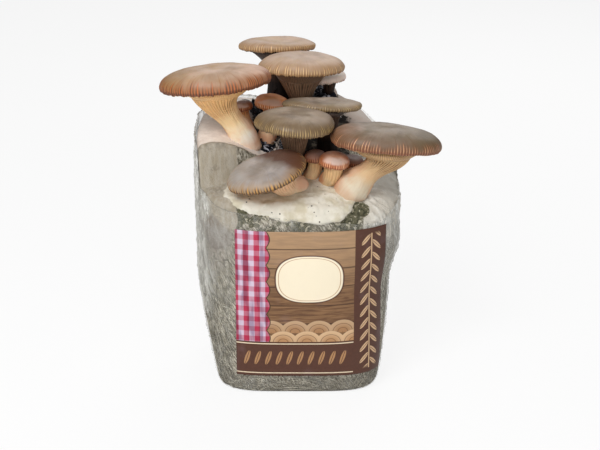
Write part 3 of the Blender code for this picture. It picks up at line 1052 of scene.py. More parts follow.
    def straw_piece(self) -> bpy.types.Object:
        """Makes the straws as one mesh of thin three-sided rods that lie on the wall.

        Returns:
            The object.
        """
        draw = np.random.default_rng(5)
        count = self.straws
        form = self.form
        angle = draw.uniform(0, math.tau, count)
        height = 2.5 + 130 * draw.beta(1.0, 1.5, count)
        length = draw.uniform(4.0, 18.0, count)
        slope = draw.normal(-0.25 - 0.75 * fade(height, 14.0, 40.0), 0.55)
        thick = draw.uniform(0.25, 0.65, count)
        tone = np.clip(draw.beta(0.9, 0.9, count) * (0.7 + 0.3 * fade(height, 0, 60)), 0, 1)
        girth = (form.width + form.depth) * 0.8
        verts = []
        last = self.straw_rings - 1
        for k in range(self.straw_rings):
            along = (k / last - 0.5) * length
            z = np.clip(height + along * np.sin(slope), 1.6, None)
            turn = angle + along * np.cos(slope) / girth * 2
            centre = form.wall(z, turn, -self.inset + 0.1)
            outward = form.wall(z, turn, 0.0) - form.wall(z, turn, -1.0)
            outward /= np.linalg.norm(outward, axis=-1, keepdims=True)
            size = thick * (1 - 0.75 * abs(2 * k / last - 1) ** 3)
            for m in range(3):
                spin = math.tau * m / 3 + 0.4
                lift = outward * (math.cos(spin) * size * 0.6)[:, None]
                verts.append(centre + lift + UP * (math.sin(spin) * size)[:, None])
        sides = [(3 * k + m, 3 * k + (m + 1) % 3) for k in range(last) for m in range(3)]
        return scattered("loose_straws", verts, tone, [(a, b, b + 3, a + 3) for a, b in sides])

    def tatter_piece(self) -> bpy.types.Object:
        """Makes the tatters, curled ribbons that stand up in the dark patches of the block's top; the tall, dark ones
        stand in for shade between the caps.

        Returns:
            The object.
        """
        draw = np.random.default_rng(8)
        count = self.tatters * len(self.shade_shred_patches)
        which = np.repeat(np.arange(len(self.shade_shred_patches)), self.tatters)
        middle_x, middle_y, radius, tall = np.array([(t.x, t.y, t.radius, t.tall) for t in self.shade_shred_patches])[which].T
        reach = radius * np.sqrt(draw.uniform(0, 0.8, count))
        turn = draw.uniform(0, math.tau, count)
        x, y = middle_x + reach * np.cos(turn), middle_y + reach * np.sin(turn)
        spot = np.stack([x, y, self.form.top_at(x, y, 0.5) - 0.8], axis=-1)
        heading = draw.uniform(0, math.tau, count)
        lean = draw.uniform(0.1, 0.9, count)
        curl = draw.uniform(0.1, 0.55, count)
        length = draw.uniform(5.0, 13.0, count) * tall
        width = draw.uniform(1.2, 4.2, count) * tall
        # Taller tatters are darker: they stand in for shade.
        tone = draw.uniform(0.0, 1.0, count) / tall**2
        ahead = np.stack([np.cos(heading), np.sin(heading), 0 * heading], axis=-1)
        aside = np.stack([-np.sin(heading), np.cos(heading), 0 * heading], axis=-1)
        verts = []
        last = self.tatter_rings - 1
        step = length / last
        for k in range(self.tatter_rings):
            half = width * (1 - (k / last) ** 2 * 0.85) / 2
            for way in (-1, 1):
                droop = UP * (half * 0.5 * (way > 0))[:, None]
                verts.append(spot + aside * (way * half)[:, None] - droop)
            rise = lean + 0.6 * tall - curl * k / tall
            spot = spot + ahead * (step * np.cos(rise))[:, None] + UP * (step * np.sin(rise))[:, None]
        faces = [tuple(2 * k + corner for corner in (0, 1, 3, 2)) for k in range(last)]
        return scattered("shade_tatters", verts, tone, faces)


@dataclass(frozen=True)
class FilmFinish:
    """Clear film, whiter and less clear along its creases and crinkles, partly from crease whitening and partly as
    painted highlight, with painted shade along its cut edge.
    """

    clear: Colour = dye(206, 204, 194)
    creased: Colour = dye(238, 237, 231)
    # Painted shade along the film's cut edge.
    edge: Colour = dye(96, 86, 72)

    def material(self) -> bpy.types.Material:
        """The finish of the film.

        Returns:
            The material.
        """
        paint = Paint("clear_film")
        place = paint.place()
        crease = paint.held("crease")
        haze = paint.held("haze")
        cloud = paint.grain(place, 9.0, 4.0)
        crinkle = paint.grain(paint.scaled(paint.held_vector("slant"), (1.0, 1.0, 0.25)), 2.6, 5.0, 1.0)
        # Creases and fine crinkles turn whiter and less clear: partly the film's own whitening, partly painted
        # highlight.
        line = paint.rise(abs(crinkle - 0.5), 0.022, 0.0)
        crease_white_and_glint = crease * (0.25 + 0.6 * haze) + line * (0.12 + 0.5 * haze)
        colour = paint.blend(paint.maths("MINIMUM", crease_white_and_glint, 1.0), self.clear, self.creased)
        # The cut edge is darkened and made less clear: painted shade of the gap between film and block.
        rim = paint.held("rim")
        colour = paint.blend(rim * 0.85, colour, self.edge)
        alpha = 0.04 + haze * (0.24 + 0.3 * cloud) + 0.6 * crease_white_and_glint + 0.4 * rim
        return paint.finish(
            Base_Color=colour,
            Roughness=0.2 + 0.2 * cloud,
            Alpha=paint.maths("MINIMUM", alpha, 0.92),
            Normal=paint.relief(crinkle, 0.9),
            IOR=1.48,
        )


@dataclass(frozen=True)
class FilmBag:
    """The film bag, cut open at the top."""

    form: BagForm
    finish: FilmFinish
    columns: int = 500
    rows: int = 118
    foot: float = 0.1
    under: tuple[float, ...] = (0.4, 0.75, 0.93)
    inset: float = 0.1
    label_left: float = -52.0
    label_bottom: float = 19.0
    label_top: float = 153.0

    def ridges(self, points: np.ndarray, grain: Grain) -> np.ndarray:
        """Sharp creases: steep ones high up, and slanting ones lower down at the left.

        Args:
            points: The smooth film.
            grain: What they are drawn from.

        Returns:
            Values from 0 to 1.2, highest where creases cross.
        """
        x, _, z = np.moveaxis(points, -1, 0)
        high = fade(z, 60.0, 120.0)
        left = 0.7 * high * fade(-x, 62.0, 78.0)
        total = 0 * z
        steep = ((0.06, 8.0, high), (0.02, 4.5, left))
        slanting = ((0.62, 9.0, 0.8), (-0.8, 14.0, 0.45), (0.3, 13.0, 0.5 * high))
        for lean, size, weight in steep + slanting:
            field = twisted(points, lean) + 60 * lean
            line = 1 - np.abs(grain.layered(field, (size, size, 6 * size), 2))
            total = total + weight * np.clip(line, 0, 1) ** 16
        return np.clip(total, 0, 1.2)

    def hazy(self, points: np.ndarray, grain: Grain) -> np.ndarray:
        """How milky the film is: most at the left edge and high up at the right.

        Args:
            points: The smooth film.
            grain: What breaks it up.

        Returns:
            Values from 0 to 1.
        """
        x, y, z = np.moveaxis(points, -1, 0)
        patchy = grain.layered(points + 70, 22.0, 3)
        left = fade(-x + 6 * patchy, 68.0, 82.0) * fade(z, 20.0, 120.0)
        right = fade(x + 8 * patchy, 52.0, 66.0) * fade(z + 14 * patchy, 60.0, 150.0)
        back = fade(y, 10.0, 50.0) * (0.25 + 0.3 * patchy)
        return np.clip(0.1 + 0.7 * left + 0.75 * right + back + 0.2 * patchy, 0, 1)

    def build(self) -> None:
        """Makes the film."""
        form = self.form
        grain = Grain(21)
        angle = form.angles(self.columns)[None, :]
        mouth = form.mouth(angle)
        edge = form.wall(mouth, angle, 0.0)
        mouth = mouth + 1.2 * grain.layered(edge, 7.0, 3)
        climb = np.linspace(0.0, 1.0, self.rows)[:, None]
        points = form.sleeve(angle, self.foot, self.under, climb, mouth, self.inset)
        x, y, z = np.moveaxis(points, -1, 0)
        ridge = self.ridges(points, grain)
        haze = self.hazy(points, grain)
        front = fade(-y, 30.0, 62.0)
        beside = fade(x, self.label_left - 9, self.label_left - 1)
        below_top = 1 - fade(z, self.label_top - 2, self.label_top + 3)
        flat = front * beside * below_top * fade(z, self.label_bottom - 8, self.label_bottom + 2)
        loose = fade(z, 1.0, 14.0) * (1 - 0.96 * flat)
        high = fade(z, 110.0, 165.0)
        billow = grain.layered(points, (24.0, 24.0, 40.0), 3)
        height = loose * (1.3 * ridge - 0.35 + billow * (0.5 + 1.3 * high))
        crumple = np.abs(grain.layered(points, (5.0, 5.0, 9.0), 2)) - 0.3
        height += loose * 0.9 * haze * crumple
        side = (np.abs(x) / (form.width / 2)) ** 8
        height -= 1.6 * side * fade(z - mouth, -46.0, 0.0) * (x > 0)
        points = points + normals(points, around=True) * height[..., None] * np.array([1.0, 1.0, 0.0])
        # How much of the painted shade along the cut edge is at each point, most at the left.
        rim = fade(z - mouth, -1.3, -0.2) * (0.2 + 0.8 * fade(-x, 0.0, 40.0))
        values = {
            "crease": np.clip(ridge * (0.35 + 0.65 * loose), 0, 1),
            "rim": rim + 0 * z,
            "haze": haze,
            "slant": twisted(points, 0.3),
        }
        piece = Skin("wrinkled_film", points, close_start=True).build(values)
        seat(piece, "film_bag", "film", self.finish.material())


@dataclass(frozen=True)
class LabelFinish:
    """A print of planks, fans and a plaque, with a checked cloth border and a dark panel of leaves."""

    plank: Colour = dye(140, 104, 70)
    plank_dark: Colour = dye(94, 64, 42)
    plank_gap: Colour = dye(58, 36, 24)
    check_red: Colour = dye(176, 8, 60)
    check_pale: Colour = dye(204, 186, 204)
    shade: Colour = dye(120, 90, 140)
    panel: Colour = dye(84, 50, 36)
    line: Colour = dye(228, 210, 180)
    plaque: Colour = dye(238, 226, 200)
    leaf: Colour = dye(176, 132, 90)
    fan_pale: Colour = dye(206, 172, 134)
    plank_height: float = 17.0
    check: float = 4.6
    cloth: float = 26.0
    panel_top: float = 34.0
    corner: float = 99.5
    plaque_middle: tuple[float, float] = (62.0, 92.0)
    plaque_half: tuple[float, float] = (28.0, 21.0)
    fan_width: float = 20.0
    fan_reach: float = 12.6
    fan_ring: float = 4.2
    scallop_height: float = 15.0
    scallop_depth: float = 3.0
    leaf_step: float = 9.0
    twig_step: float = 11.0
    vine_inset: float = 15.0

    def material(self) -> bpy.types.Material:
        """The print.

        Returns:
            The material.
        """
        paint = Paint("printed_label")
        across, up, _ = paint.split(paint.held_vector("sheet"))
        colour = self._planks(paint, across, up)
        colour = self._fans(paint, colour, across, up)
        colour = self._plaque(paint, colour, across, up)
        colour = self._cloth(paint, colour, across, up)
        colour = self._panel(paint, colour, across, up)
        wear = paint.grain(paint.place(), 20.0, 5.0)
        colour = paint.blend(paint.rise(wear, 0.55, 0.8) * 0.06, colour, self.check_pale)
        return paint.finish(
            Base_Color=colour,
            Roughness=0.46 + 0.16 * wear,
            Normal=paint.relief(paint.grain(paint.place(), 6.0, 3.0), 0.35),
            IOR=1.4,
        )

    def _planks(self, paint: Paint, across: Signal, up: Signal) -> Signal:
        """Boards that lie across the sheet.

        Args:
            paint: The material.
            across: Distance from the left edge.
            up: Distance from the bottom.

        Returns:
            Their colour.
        """
        row = paint.maths("FLOOR", up / self.plank_height)
        within = paint.maths("FRACT", up / self.plank_height)
        shifted = paint.join(across * 0.06 + row * 7.3, up * 0.55, row * 3.1)
        figure = paint.grain(shifted, 1.0, 5.0, 0.6)
        streak = paint.grain(paint.join(across * 0.03, up * 2.4, row), 1.0, 3.0)
        return paint.coat(
            self.plank_dark,
            (paint.rise(figure, 0.3, 0.7), self.plank),
            (paint.rise(streak, 0.5, 0.75) * 0.45, self.plank_dark),
            (paint.rise(up, 70.0, 134.0) * 0.45, self.fan_pale),
            (paint.rise(up, 80.0, 34.0) * 0.3, self.plank_dark),
            (paint.rise(abs(within - 0.5), 0.455, 0.49) * 0.85, self.plank_gap),
        )

    def _fans(self, paint: Paint, colour: Signal, across: Signal, up: Signal) -> Signal:
        """Two rows of overlapping fans that stand on the panel.

        Args:
            paint: The material.
            colour: The print so far.
            across: Distance from the left edge.
            up: Distance from the bottom.

        Returns:
            The print with the fans.
        """
        for row, (shift, foot) in enumerate(((0.0, self.panel_top + 9.0), (10.0, self.panel_top - 1.0))):
            cell = (paint.maths("FRACT", (across + shift) / self.fan_width) - 0.5) * self.fan_width
            above = up - foot
            away = paint.maths("SQRT", cell * cell + above * above * 1.25)
            rings = paint.rise(abs(paint.maths("FRACT", away / self.fan_ring) - 0.5), 0.4, 0.46)
            shade = paint.coat(
                self.leaf,
                (paint.rise(away, 3.0, 12.0), self.fan_pale),
                (rings * 0.75, self.plank_dark),
                (0.25 * (1 - row), self.plank_dark),
            )
            inside = paint.rise(away, self.fan_reach, self.fan_reach - 0.3)
            colour = paint.blend(inside * paint.rise(above, -1.0, -0.6), colour, shade)
        return colour

    def _plaque(self, paint: Paint, colour: Signal, across: Signal, up: Signal) -> Signal:
        """An oval plaque with a border.

        Args:
            paint: The material.
            colour: The print so far.
            across: Distance from the left edge.
            up: Distance from the bottom.

        Returns:
            The print with the plaque.
        """
        u = (across - self.plaque_middle[0]) / self.plaque_half[0]
        v = (up - self.plaque_middle[1]) / self.plaque_half[1]
        away = abs(u) ** 2.6 + abs(v) ** 2.6
        return paint.coat(
            colour,
            (paint.rise(away, 1.12, 1.06), self.panel),
            (paint.rise(away, 1.0, 0.95), self.plaque),
            (paint.rise(abs(away - 0.8), 0.035, 0.02) * 0.8, self.leaf),
        )

    def _cloth(self, paint: Paint, colour: Signal, across: Signal, up: Signal) -> Signal:
        """A checked cloth border down the left side, with a scalloped hem.

        Args:
            paint: The material.
            colour: The print so far.
            across: Distance from the left edge.
            up: Distance from the bottom.

        Returns:
            The print with the cloth.
        """
        scallop = abs(paint.maths("SINE", up * (math.pi / self.scallop_height))) * self.scallop_depth
        bands = []
        for value in (across, up):
            band = paint.maths("FRACT", value / (2 * self.check))
            bands.append(paint.rise(abs(band - 0.5), 0.23, 0.27))
        weave = paint.grain(paint.join(across * 3, up * 3), 1.0, 2.0)
        check = paint.coat(
            self.check_pale,
            (bands[0] * 0.76 + bands[1] * 0.5, self.check_red),
            (weave * 0.08, self.check_pale),
        )
        fold = paint.grain(paint.join(across * 0.16, up * 0.03), 1.0, 2.0)
        check = paint.blend(paint.rise(fold, 0.42, 0.6) * 0.55, check, self.shade, "MULTIPLY")
        return paint.coat(
            colour,
            (paint.rise(abs(across - scallop - self.cloth), 0.9, 0.5) * 0.9, self.plank_gap),
            (paint.rise(across - scallop, self.cloth, self.cloth - 0.5), check),
        )

    def _panel(self, paint: Paint, colour: Signal, across: Signal, up: Signal) -> Signal:
        """A dark panel along the bottom and round the corner, with plain lines, a row of leaves and a vine.

        Args:
            paint: The material.
            colour: The print so far.
            across: Distance from the left edge.
            up: Distance from the bottom.

        Returns:
            The print with the panel.
        """
        fleck = paint.grain(paint.join(across * 0.4, up * 0.4), 1.0, 4.0)
        dark = paint.blend(paint.rise(fleck, 0.3, 0.8) * 0.3, self.panel, self.plank_gap)
        row = self._leaves(paint, (across - 5.0) / self.leaf_step, up - 18.0, 0.3)
        row = row * paint.rise(across, 4.9, 5.1) * paint.rise(across, 95.1, 94.9)
        beside = across - (self.corner + self.vine_inset)
        before = paint.rise(across, self.corner + 0.2, self.corner - 0.2)
        rules = [paint.rise(abs(up - height), 0.6, 0.35) * before for height in (self.panel_top - 2.2, 3.0)]
        twigs = []
        for way in (-1.0, 1.0):
            turned = up + beside * (0.9 * way)
            twig = self._leaves(paint, turned / self.twig_step + 0.25 * way, beside - 5.0 * way, 0.0, 4.5)
            twigs.append(twig * paint.rise(up, 4.0, 8.0) * paint.rise(up, 131.0, 127.0))
        stalk = paint.rise(abs(beside), 0.7, 0.4) * paint.rise(up, 4.0, 4.4) * paint.rise(up, 130.0, 129.6)
        return paint.coat(
            colour,
            (paint.rise(up, self.panel_top, self.panel_top - 0.4), dark),
            (paint.rise(across, self.corner, self.corner + 0.4), dark),
            *((rule, self.line) for rule in rules),
            (row * 0.9, self.leaf),
            *((stem, self.fan_pale) for stem in (*twigs, stalk)),
        )

    def _leaves(self, paint: Paint, cell: Signal, along: Signal, lean: float, long: float = 7.0) -> Signal:
        """A row of slim leaves, each with a vein.

        Args:
            paint: The material.
            cell: Distance along the row, in leaves.
            along: Distance along a leaf from its middle.
            lean: How far the leaves lean.
            long: Half the length of a leaf.

        Returns:
            1 on a leaf.
        """
        aside = (paint.maths("FRACT", cell) - 0.5) * self.leaf_step - along * lean
        body = (aside / 2.0) ** 2.0 + (along / long) ** 2.0
        vein = paint.rise(abs(aside), 0.15, 0.35)
        return paint.rise(body, 1.0, 0.85) * vein


@dataclass(frozen=True)
class Label:
    """The label, one sheet on the front that wraps round the right corner."""

    form: BagForm
    finish: LabelFinish
    left: float = 52.0
    width: float = 130.0
    bottom: float = 19.0
    top: float = 153.2
    stand: float = 0.55
    paper: float = 0.25
    ripple: float = 0.12
    columns: int = 150
    rows: int = 100
    steps: int = 4001

    def build(self) -> None:
        """Makes the label."""
        form = self.form
        height = np.linspace(self.bottom, self.top, self.rows)
        place = np.linspace(0.0, self.width, self.columns)
        turn = np.linspace(math.pi, 2.5 * math.pi, self.steps)
        points = np.zeros((self.rows, self.columns, 3))
        for row, z in enumerate(height):
            middle, half_width, half_depth, power = form.section(np.array([z]), self.stand)
            x, y = form.outline(half_width, half_depth, power, turn)
            length = walked(x, y)
            spot = np.interp(1.5 * math.pi, turn, length) - middle[0] - self.left + place
            points[row, :, 0] = middle[0] + np.interp(spot, length, x)
            points[row, :, 1] = np.interp(spot, length, y)
            points[row, :, 2] = z
        ripple = self.ripple * Grain(31).layered(points, (16.0, 16.0, 40.0), 2) + self.ripple
        points = points + normals(points, around=False) * ripple[..., None]
        u, v = np.meshgrid(place, height - self.bottom)
        sheet = np.stack([u, v, 0 * u], axis=-1)
        piece = Skin("wrap_label", points, around=False).build({"sheet": sheet})
        thick = piece.modifiers.new("paper", "SOLIDIFY")
        thick.thickness = self.paper * MM
        thick.offset = -1.0
        seat(piece, "label", "label", self.finish.material())


@dataclass(frozen=True)
class CapDye:
    """Colours of one kind of cap."""

    crown: Colour
    mottle: Colour
    blush: Colour
    shoulder: Colour
    comb_pale: Colour
    comb_dark: Colour
    left: Colour
    right: Colour
    # Colour of the dark edge on one side: partly the cap's own brown, partly painted shade.
    dark_edge_and_shade: Colour = dye(70, 42, 24)
    # How much pale frost, partly painted highlight, the front of the rim gets.
    frost_and_sheen: float = 0.0
    bite: float = 0.75


class CapTone(Enum):
    """The kinds of cap in the cluster."""

    RUSSET = CapDye(
        crown=dye(200, 170, 148), mottle=dye(168, 138, 112), blush=dye(178, 142, 98), shoulder=dye(142, 88, 44),
        comb_pale=dye(190, 100, 44), comb_dark=dye(70, 24, 2), left=dye(152, 120, 76), right=dye(218, 178, 154),
    )
    TAUPE = CapDye(
        crown=dye(200, 171, 149), mottle=dye(168, 141, 119), blush=dye(186, 155, 120), shoulder=dye(154, 120, 82),
        comb_pale=dye(234, 198, 146), comb_dark=dye(150, 110, 74), left=dye(196, 170, 151), right=dye(196, 166, 144),
    )
    OLIVE = CapDye(
        crown=dye(140, 124, 108), mottle=dye(104, 88, 68), blush=dye(114, 94, 60), shoulder=dye(98, 66, 38),
        comb_pale=dye(216, 160, 118), comb_dark=dye(116, 62, 36), left=dye(150, 106, 78), right=dye(112, 100, 72),
    )
    MOSS = CapDye(
        crown=dye(148, 128, 104), mottle=dye(108, 88, 66), blush=dye(122, 98, 62), shoulder=dye(100, 76, 42),
        comb_pale=dye(204, 174, 118), comb_dark=dye(102, 78, 50), left=dye(134, 120, 102), right=dye(142, 116, 92),
    )
    DUSK = CapDye(
        crown=dye(178, 160, 143), mottle=dye(134, 116, 98), blush=dye(146, 126, 94), shoulder=dye(118, 94, 62),
        comb_pale=dye(212, 188, 142), comb_dark=dye(116, 92, 62), left=dye(146, 130, 108), right=dye(156, 136, 112),
    )
    LILAC = CapDye(
        crown=dye(178, 172, 170), mottle=dye(142, 132, 124), blush=dye(152, 138, 124), shoulder=dye(158, 128, 92),
        comb_pale=dye(196, 142, 60), comb_dark=dye(70, 38, 6), left=dye(172, 170, 166), right=dye(112, 66, 32),
        dark_edge_and_shade=dye(84, 44, 20), bite=1.0,
    )
    RUST = CapDye(
        crown=dye(168, 106, 72), mottle=dye(120, 68, 44), blush=dye(180, 116, 72), shoulder=dye(178, 104, 60),
        comb_pale=dye(244, 198, 156), comb_dark=dye(128, 60, 30), left=dye(156, 92, 58), right=dye(150, 84, 50),
        frost_and_sheen=0.45,
    )
    AMBER = CapDye(
        crown=dye(252, 180, 130), mottle=dye(226, 136, 86), blush=dye(250, 180, 120), shoulder=dye(248, 156, 92),
        comb_pale=dye(255, 232, 196), comb_dark=dye(176, 80, 36), left=dye(226, 132, 82), right=dye(244, 166, 114),
        frost_and_sheen=0.5, bite=0.9,
    )
    BARK = CapDye(
        crown=dye(146, 90, 64), mottle=dye(104, 60, 44), blush=dye(140, 82, 54), shoulder=dye(140, 80, 50),
        comb_pale=dye(222, 160, 118), comb_dark=dye(88, 42, 24), left=dye(130, 80, 58), right=dye(120, 70, 50),
        frost_and_sheen=0.1,
    )
    PINK = CapDye(
        crown=dye(255, 246, 240), mottle=dye(250, 232, 222), blush=dye(252, 236, 224), shoulder=dye(248, 224, 208),
        comb_pale=dye(252, 236, 222), comb_dark=dye(206, 170, 148), left=dye(252, 238, 228), right=dye(250, 232, 220),
        bite=0.2,
    )


@dataclass(frozen=True)
class StemDye:
    """Colours of one kind of stem."""

    foot: Colour
    middle: Colour
    flare: Colour
    # Colour of stains, and of the painted shade in the gill grooves.
    stain_and_groove_shade: Colour
    blush: Colour
    lines: float = 0.75
    gloss: float = 0.5


class StemTone(Enum):
    """The kinds of stem in the cluster."""

    CREAM = StemDye(
        dye(250, 238, 220), dye(250, 218, 168), dye(236, 188, 128), dye(142, 92, 52), dye(230, 164, 118), lines=0.3
    )
    HONEY = StemDye(
        dye(206, 193, 170), dye(202, 170, 128), dye(192, 156, 110), dye(116, 80, 48), dye(206, 154, 120), lines=0.8
    )
    ROSE = StemDye(
        dye(242, 224, 200), dye(240, 212, 178), dye(226, 184, 144), dye(140, 90, 60), dye(230, 176, 144), lines=0.2
    )
    # Near-black stem, and gills under its cap: painted shade for the stems that stand in the dark between the caps.
    PAINTED_SHADE = StemDye(
        dye(30, 22, 19), dye(24, 17, 15), dye(78, 56, 42), dye(10, 7, 6), dye(30, 20, 16), gloss=0.12
    )
    # Near-black painted shade low down; tan with gill lines just under the cap.
    PAINTED_SHADE_TAN_FLARE = StemDye(
        dye(24, 17, 15), dye(12, 8, 7), dye(132, 104, 82), dye(22, 14, 11), dye(24, 16, 12), lines=0.5, gloss=0.12
    )
    TAN = StemDye(
        dye(244, 206, 168), dye(246, 196, 144), dye(232, 160, 104), dye(130, 66, 36), dye(214, 126, 80), lines=0.4
    )
    BUTTER = StemDye(
        dye(230, 192, 146), dye(236, 208, 164), dye(222, 184, 134), dye(150, 90, 52), dye(206, 120, 78), lines=0.3
    )


@dataclass(frozen=True)
class CapFinish:
    """The skin of a cap and its gills, with a dark edge on the side that faces an angle and beyond a share of its
    reach: partly the cap's own brown rim, partly painted shade.
    """

    tone: CapTone
    stalk: StemTone
    dark_edge_and_shade_side: tuple[float, float]
    # Pale colour of frost on the cap, also used for painted sheen and painted highlight.
    frost_and_sheen: Colour = dye(236, 220, 208)

    def material(self, name: str) -> bpy.types.Material:
        """The finish of one cap.

        Args:
            name: The material's name.

        Returns:
            The material.
        """
        tone = self.tone.value
        paint = Paint(name)
        place = paint.place()
        ray = paint.held_vector("ray")
        across, deep, _ = paint.split(ray)
        path = paint.held("path")
        comb = paint.held("comb")
        tooth = paint.held("tooth")
        cloud = paint.grain(place, 12.0, 4.0)
        broad = paint.grain(place, 26.0, 3.0, 0.8)
        streak = paint.grain(paint.scaled(ray, (9.0, 9.0, 0.7)), 1.0, 4.0)
        fibre = paint.grain(paint.scaled(ray, (60.0, 60.0, 1.6)), 1.0, 3.0)
        pore = paint.grain(place, 0.9, 3.0)
        tint = paint.grain(paint.scaled(place, (1.0, 1.0, 0.5)), 20.0, 2.0, 0.8)
        leeward = [paint.rise(across * way * path + (cloud - 0.5) * 0.5, 0.25, 0.85) for way in (-1.0, 1.0)]
        outer = path + (streak - 0.5) * 0.25 + (broad - 0.5) * 0.4
        hair = paint.rise(fibre, 0.52, 0.68) * paint.rise(path, 0.2, 0.8)
        # Painted sheen: the crown is lightened towards its middle, where it faces up.
        crown_sheen = paint.rise(cloud + pore * 0.3, 0.45, 0.8) * paint.rise(path, 0.9, 0.3)
        # A pale patch on the front, near the rim: partly white frost, partly painted highlight.
        front = paint.rise((0.0 - deep) * path + (cloud - 0.5) * 0.9, 0.3, 0.65) * paint.rise(path, 0.94, 0.84)
        # The dark edge on one side: partly the cap's own brown rim, partly painted shade.
        way = math.radians(self.dark_edge_and_shade_side[0])
        side = (across * math.cos(way) + deep * math.sin(way)) * path + (cloud - 0.5) * 0.5
        dark_edge_and_shade = paint.rise(side, self.dark_edge_and_shade_side[1], self.dark_edge_and_shade_side[1] + 0.35)
        blot = paint.rise(paint.cells(place, 8.0), 0.1, 0.03) * paint.rise(cloud, 0.5, 0.56)
        fringe = paint.rise(path + tooth * 0.12 + (streak - 0.5) * 0.3, 0.82, 1.02)
        teeth = paint.ramp(comb, (0.15, tone.comb_dark), (0.6, tone.shoulder), (0.95, tone.comb_pale))
        tip = paint.rise(comb, 0.7, 1.0) * paint.rise(path + tooth * 0.16 + (streak - 0.5) * 0.2, 0.86, 1.0)
        stalk = self.stalk.value
        # Between the gills under the cap the colour is darker: painted shade in the grooves.
        groove_shade = paint.rise(comb, 0.7, 0.2) * (1.0 - paint.rise(path, 1.2, 1.7) * (1.0 - stalk.lines))
        colour = paint.coat(
            tone.mottle,
            (paint.rise(broad * 0.7 + cloud * 0.3, 0.34, 0.66), tone.crown),
            (paint.rise(tint, 0.42, 0.72) * 0.7, tone.blush),
            (leeward[0] * 0.75, tone.left),
            (leeward[1] * 0.75, tone.right),
            (paint.rise(outer, 0.6, 1.0) * 0.8, tone.shoulder),
            (hair * 0.5, tone.shoulder),
            # painted sheen on the crown
            (crown_sheen * 0.16, self.frost_and_sheen),
            (front * tone.frost_and_sheen, self.frost_and_sheen),
            (dark_edge_and_shade * 0.85, tone.dark_edge_and_shade),
            (blot * 0.45, tone.comb_dark),
            (fringe * tone.bite, teeth),
            (tip * paint.rise(cloud, 0.3, 0.55) * tone.bite, tone.comb_pale),
            # A dark band along the very edge of the rim: painted shade where the rim turns under.
            (paint.rise(path, 0.985, 1.03) * 0.55, tone.comb_dark),
            (paint.rise(path, 1.08, 1.16), paint.blend(groove_shade, stalk.flare, stalk.stain_and_groove_shade)),
        )
        height = streak * 0.5 + fibre * 0.3 + pore * 0.25
        return paint.finish(
            Base_Color=colour,
            Roughness=0.34 + 0.22 * cloud + 0.1 * pore,
            Normal=paint.relief(height, 0.45),
            Subsurface_Weight=0.08,
            Subsurface_Radius=(0.008, 0.004, 0.002),
        )


@dataclass(frozen=True)
class StemFinish:
    """The skin of a stem."""

    tone: StemTone

    def material(self, name: str) -> bpy.types.Material:
        """The finish of one stem.

        Args:
            name: The material's name.

        Returns:
            The material.
        """
        tone = self.tone.value
        paint = Paint(name)
        place = paint.place()
        ray = paint.held_vector("ray")
        path = paint.held("path")
        comb = paint.held("comb")
        cloud = paint.grain(place, 9.0, 4.0)
        fibre = paint.grain(paint.scaled(ray, (18.0, 18.0, 1.4)), 1.0, 4.0)
        pore = paint.grain(place, 1.1, 3.0)
        along = path + (cloud - 0.5) * 0.3
        stain = paint.rise(fibre * 0.6 + cloud * 0.5, 0.55, 0.72) * paint.rise(path, 0.35, 0.9)
        # Darker in the grooves of the gills that run down the stem: painted shade.
        stain_and_groove_shade = paint.rise(path, 0.45, 0.8) * paint.rise(path, 1.0, 0.92) * paint.rise(comb, 0.6, 0.1)
        contact = paint.rise(path + (cloud - 0.5) * 0.2, 0.27, 0.12)
        flank = paint.rise(abs(paint.split(ray)[0]) + (cloud - 0.5) * 0.5, 0.62, 1.0)
        rusty = paint.rise(paint.grain(place, 14.0, 3.0), 0.48, 0.62) * paint.rise(path, 0.6, 0.95)
        patch = paint.rise(cloud, 0.52, 0.75) * paint.rise(path, 0.75, 0.4)
        colour = paint.coat(
            paint.ramp(along, (0.25, tone.foot), (0.52, tone.middle), (0.85, tone.flare)),
            (paint.rise(fibre, 0.5, 0.72) * 0.3, tone.flare),
            (stain * 0.3, tone.stain_and_groove_shade),
            (stain_and_groove_shade * tone.lines, tone.stain_and_groove_shade),
            (contact * 0.4, tone.blush),
            (flank * paint.rise(path, 0.8, 0.5) * 0.6, tone.blush),
            (rusty * 0.45 * paint.rise(comb, 0.9, 0.3), tone.stain_and_groove_shade),
            (patch * 0.3, tone.blush),
        )
        return paint.finish(
            Base_Color=colour,
            Roughness=0.5 + 0.2 * cloud,
            Specular_IOR_Level=tone.gloss,
            Normal=paint.relief(fibre * 0.6 + pore * 0.3, 0.5),
            Subsurface_Weight=0.12,
            Subsurface_Radius=(0.01, 0.005, 0.003),
        )


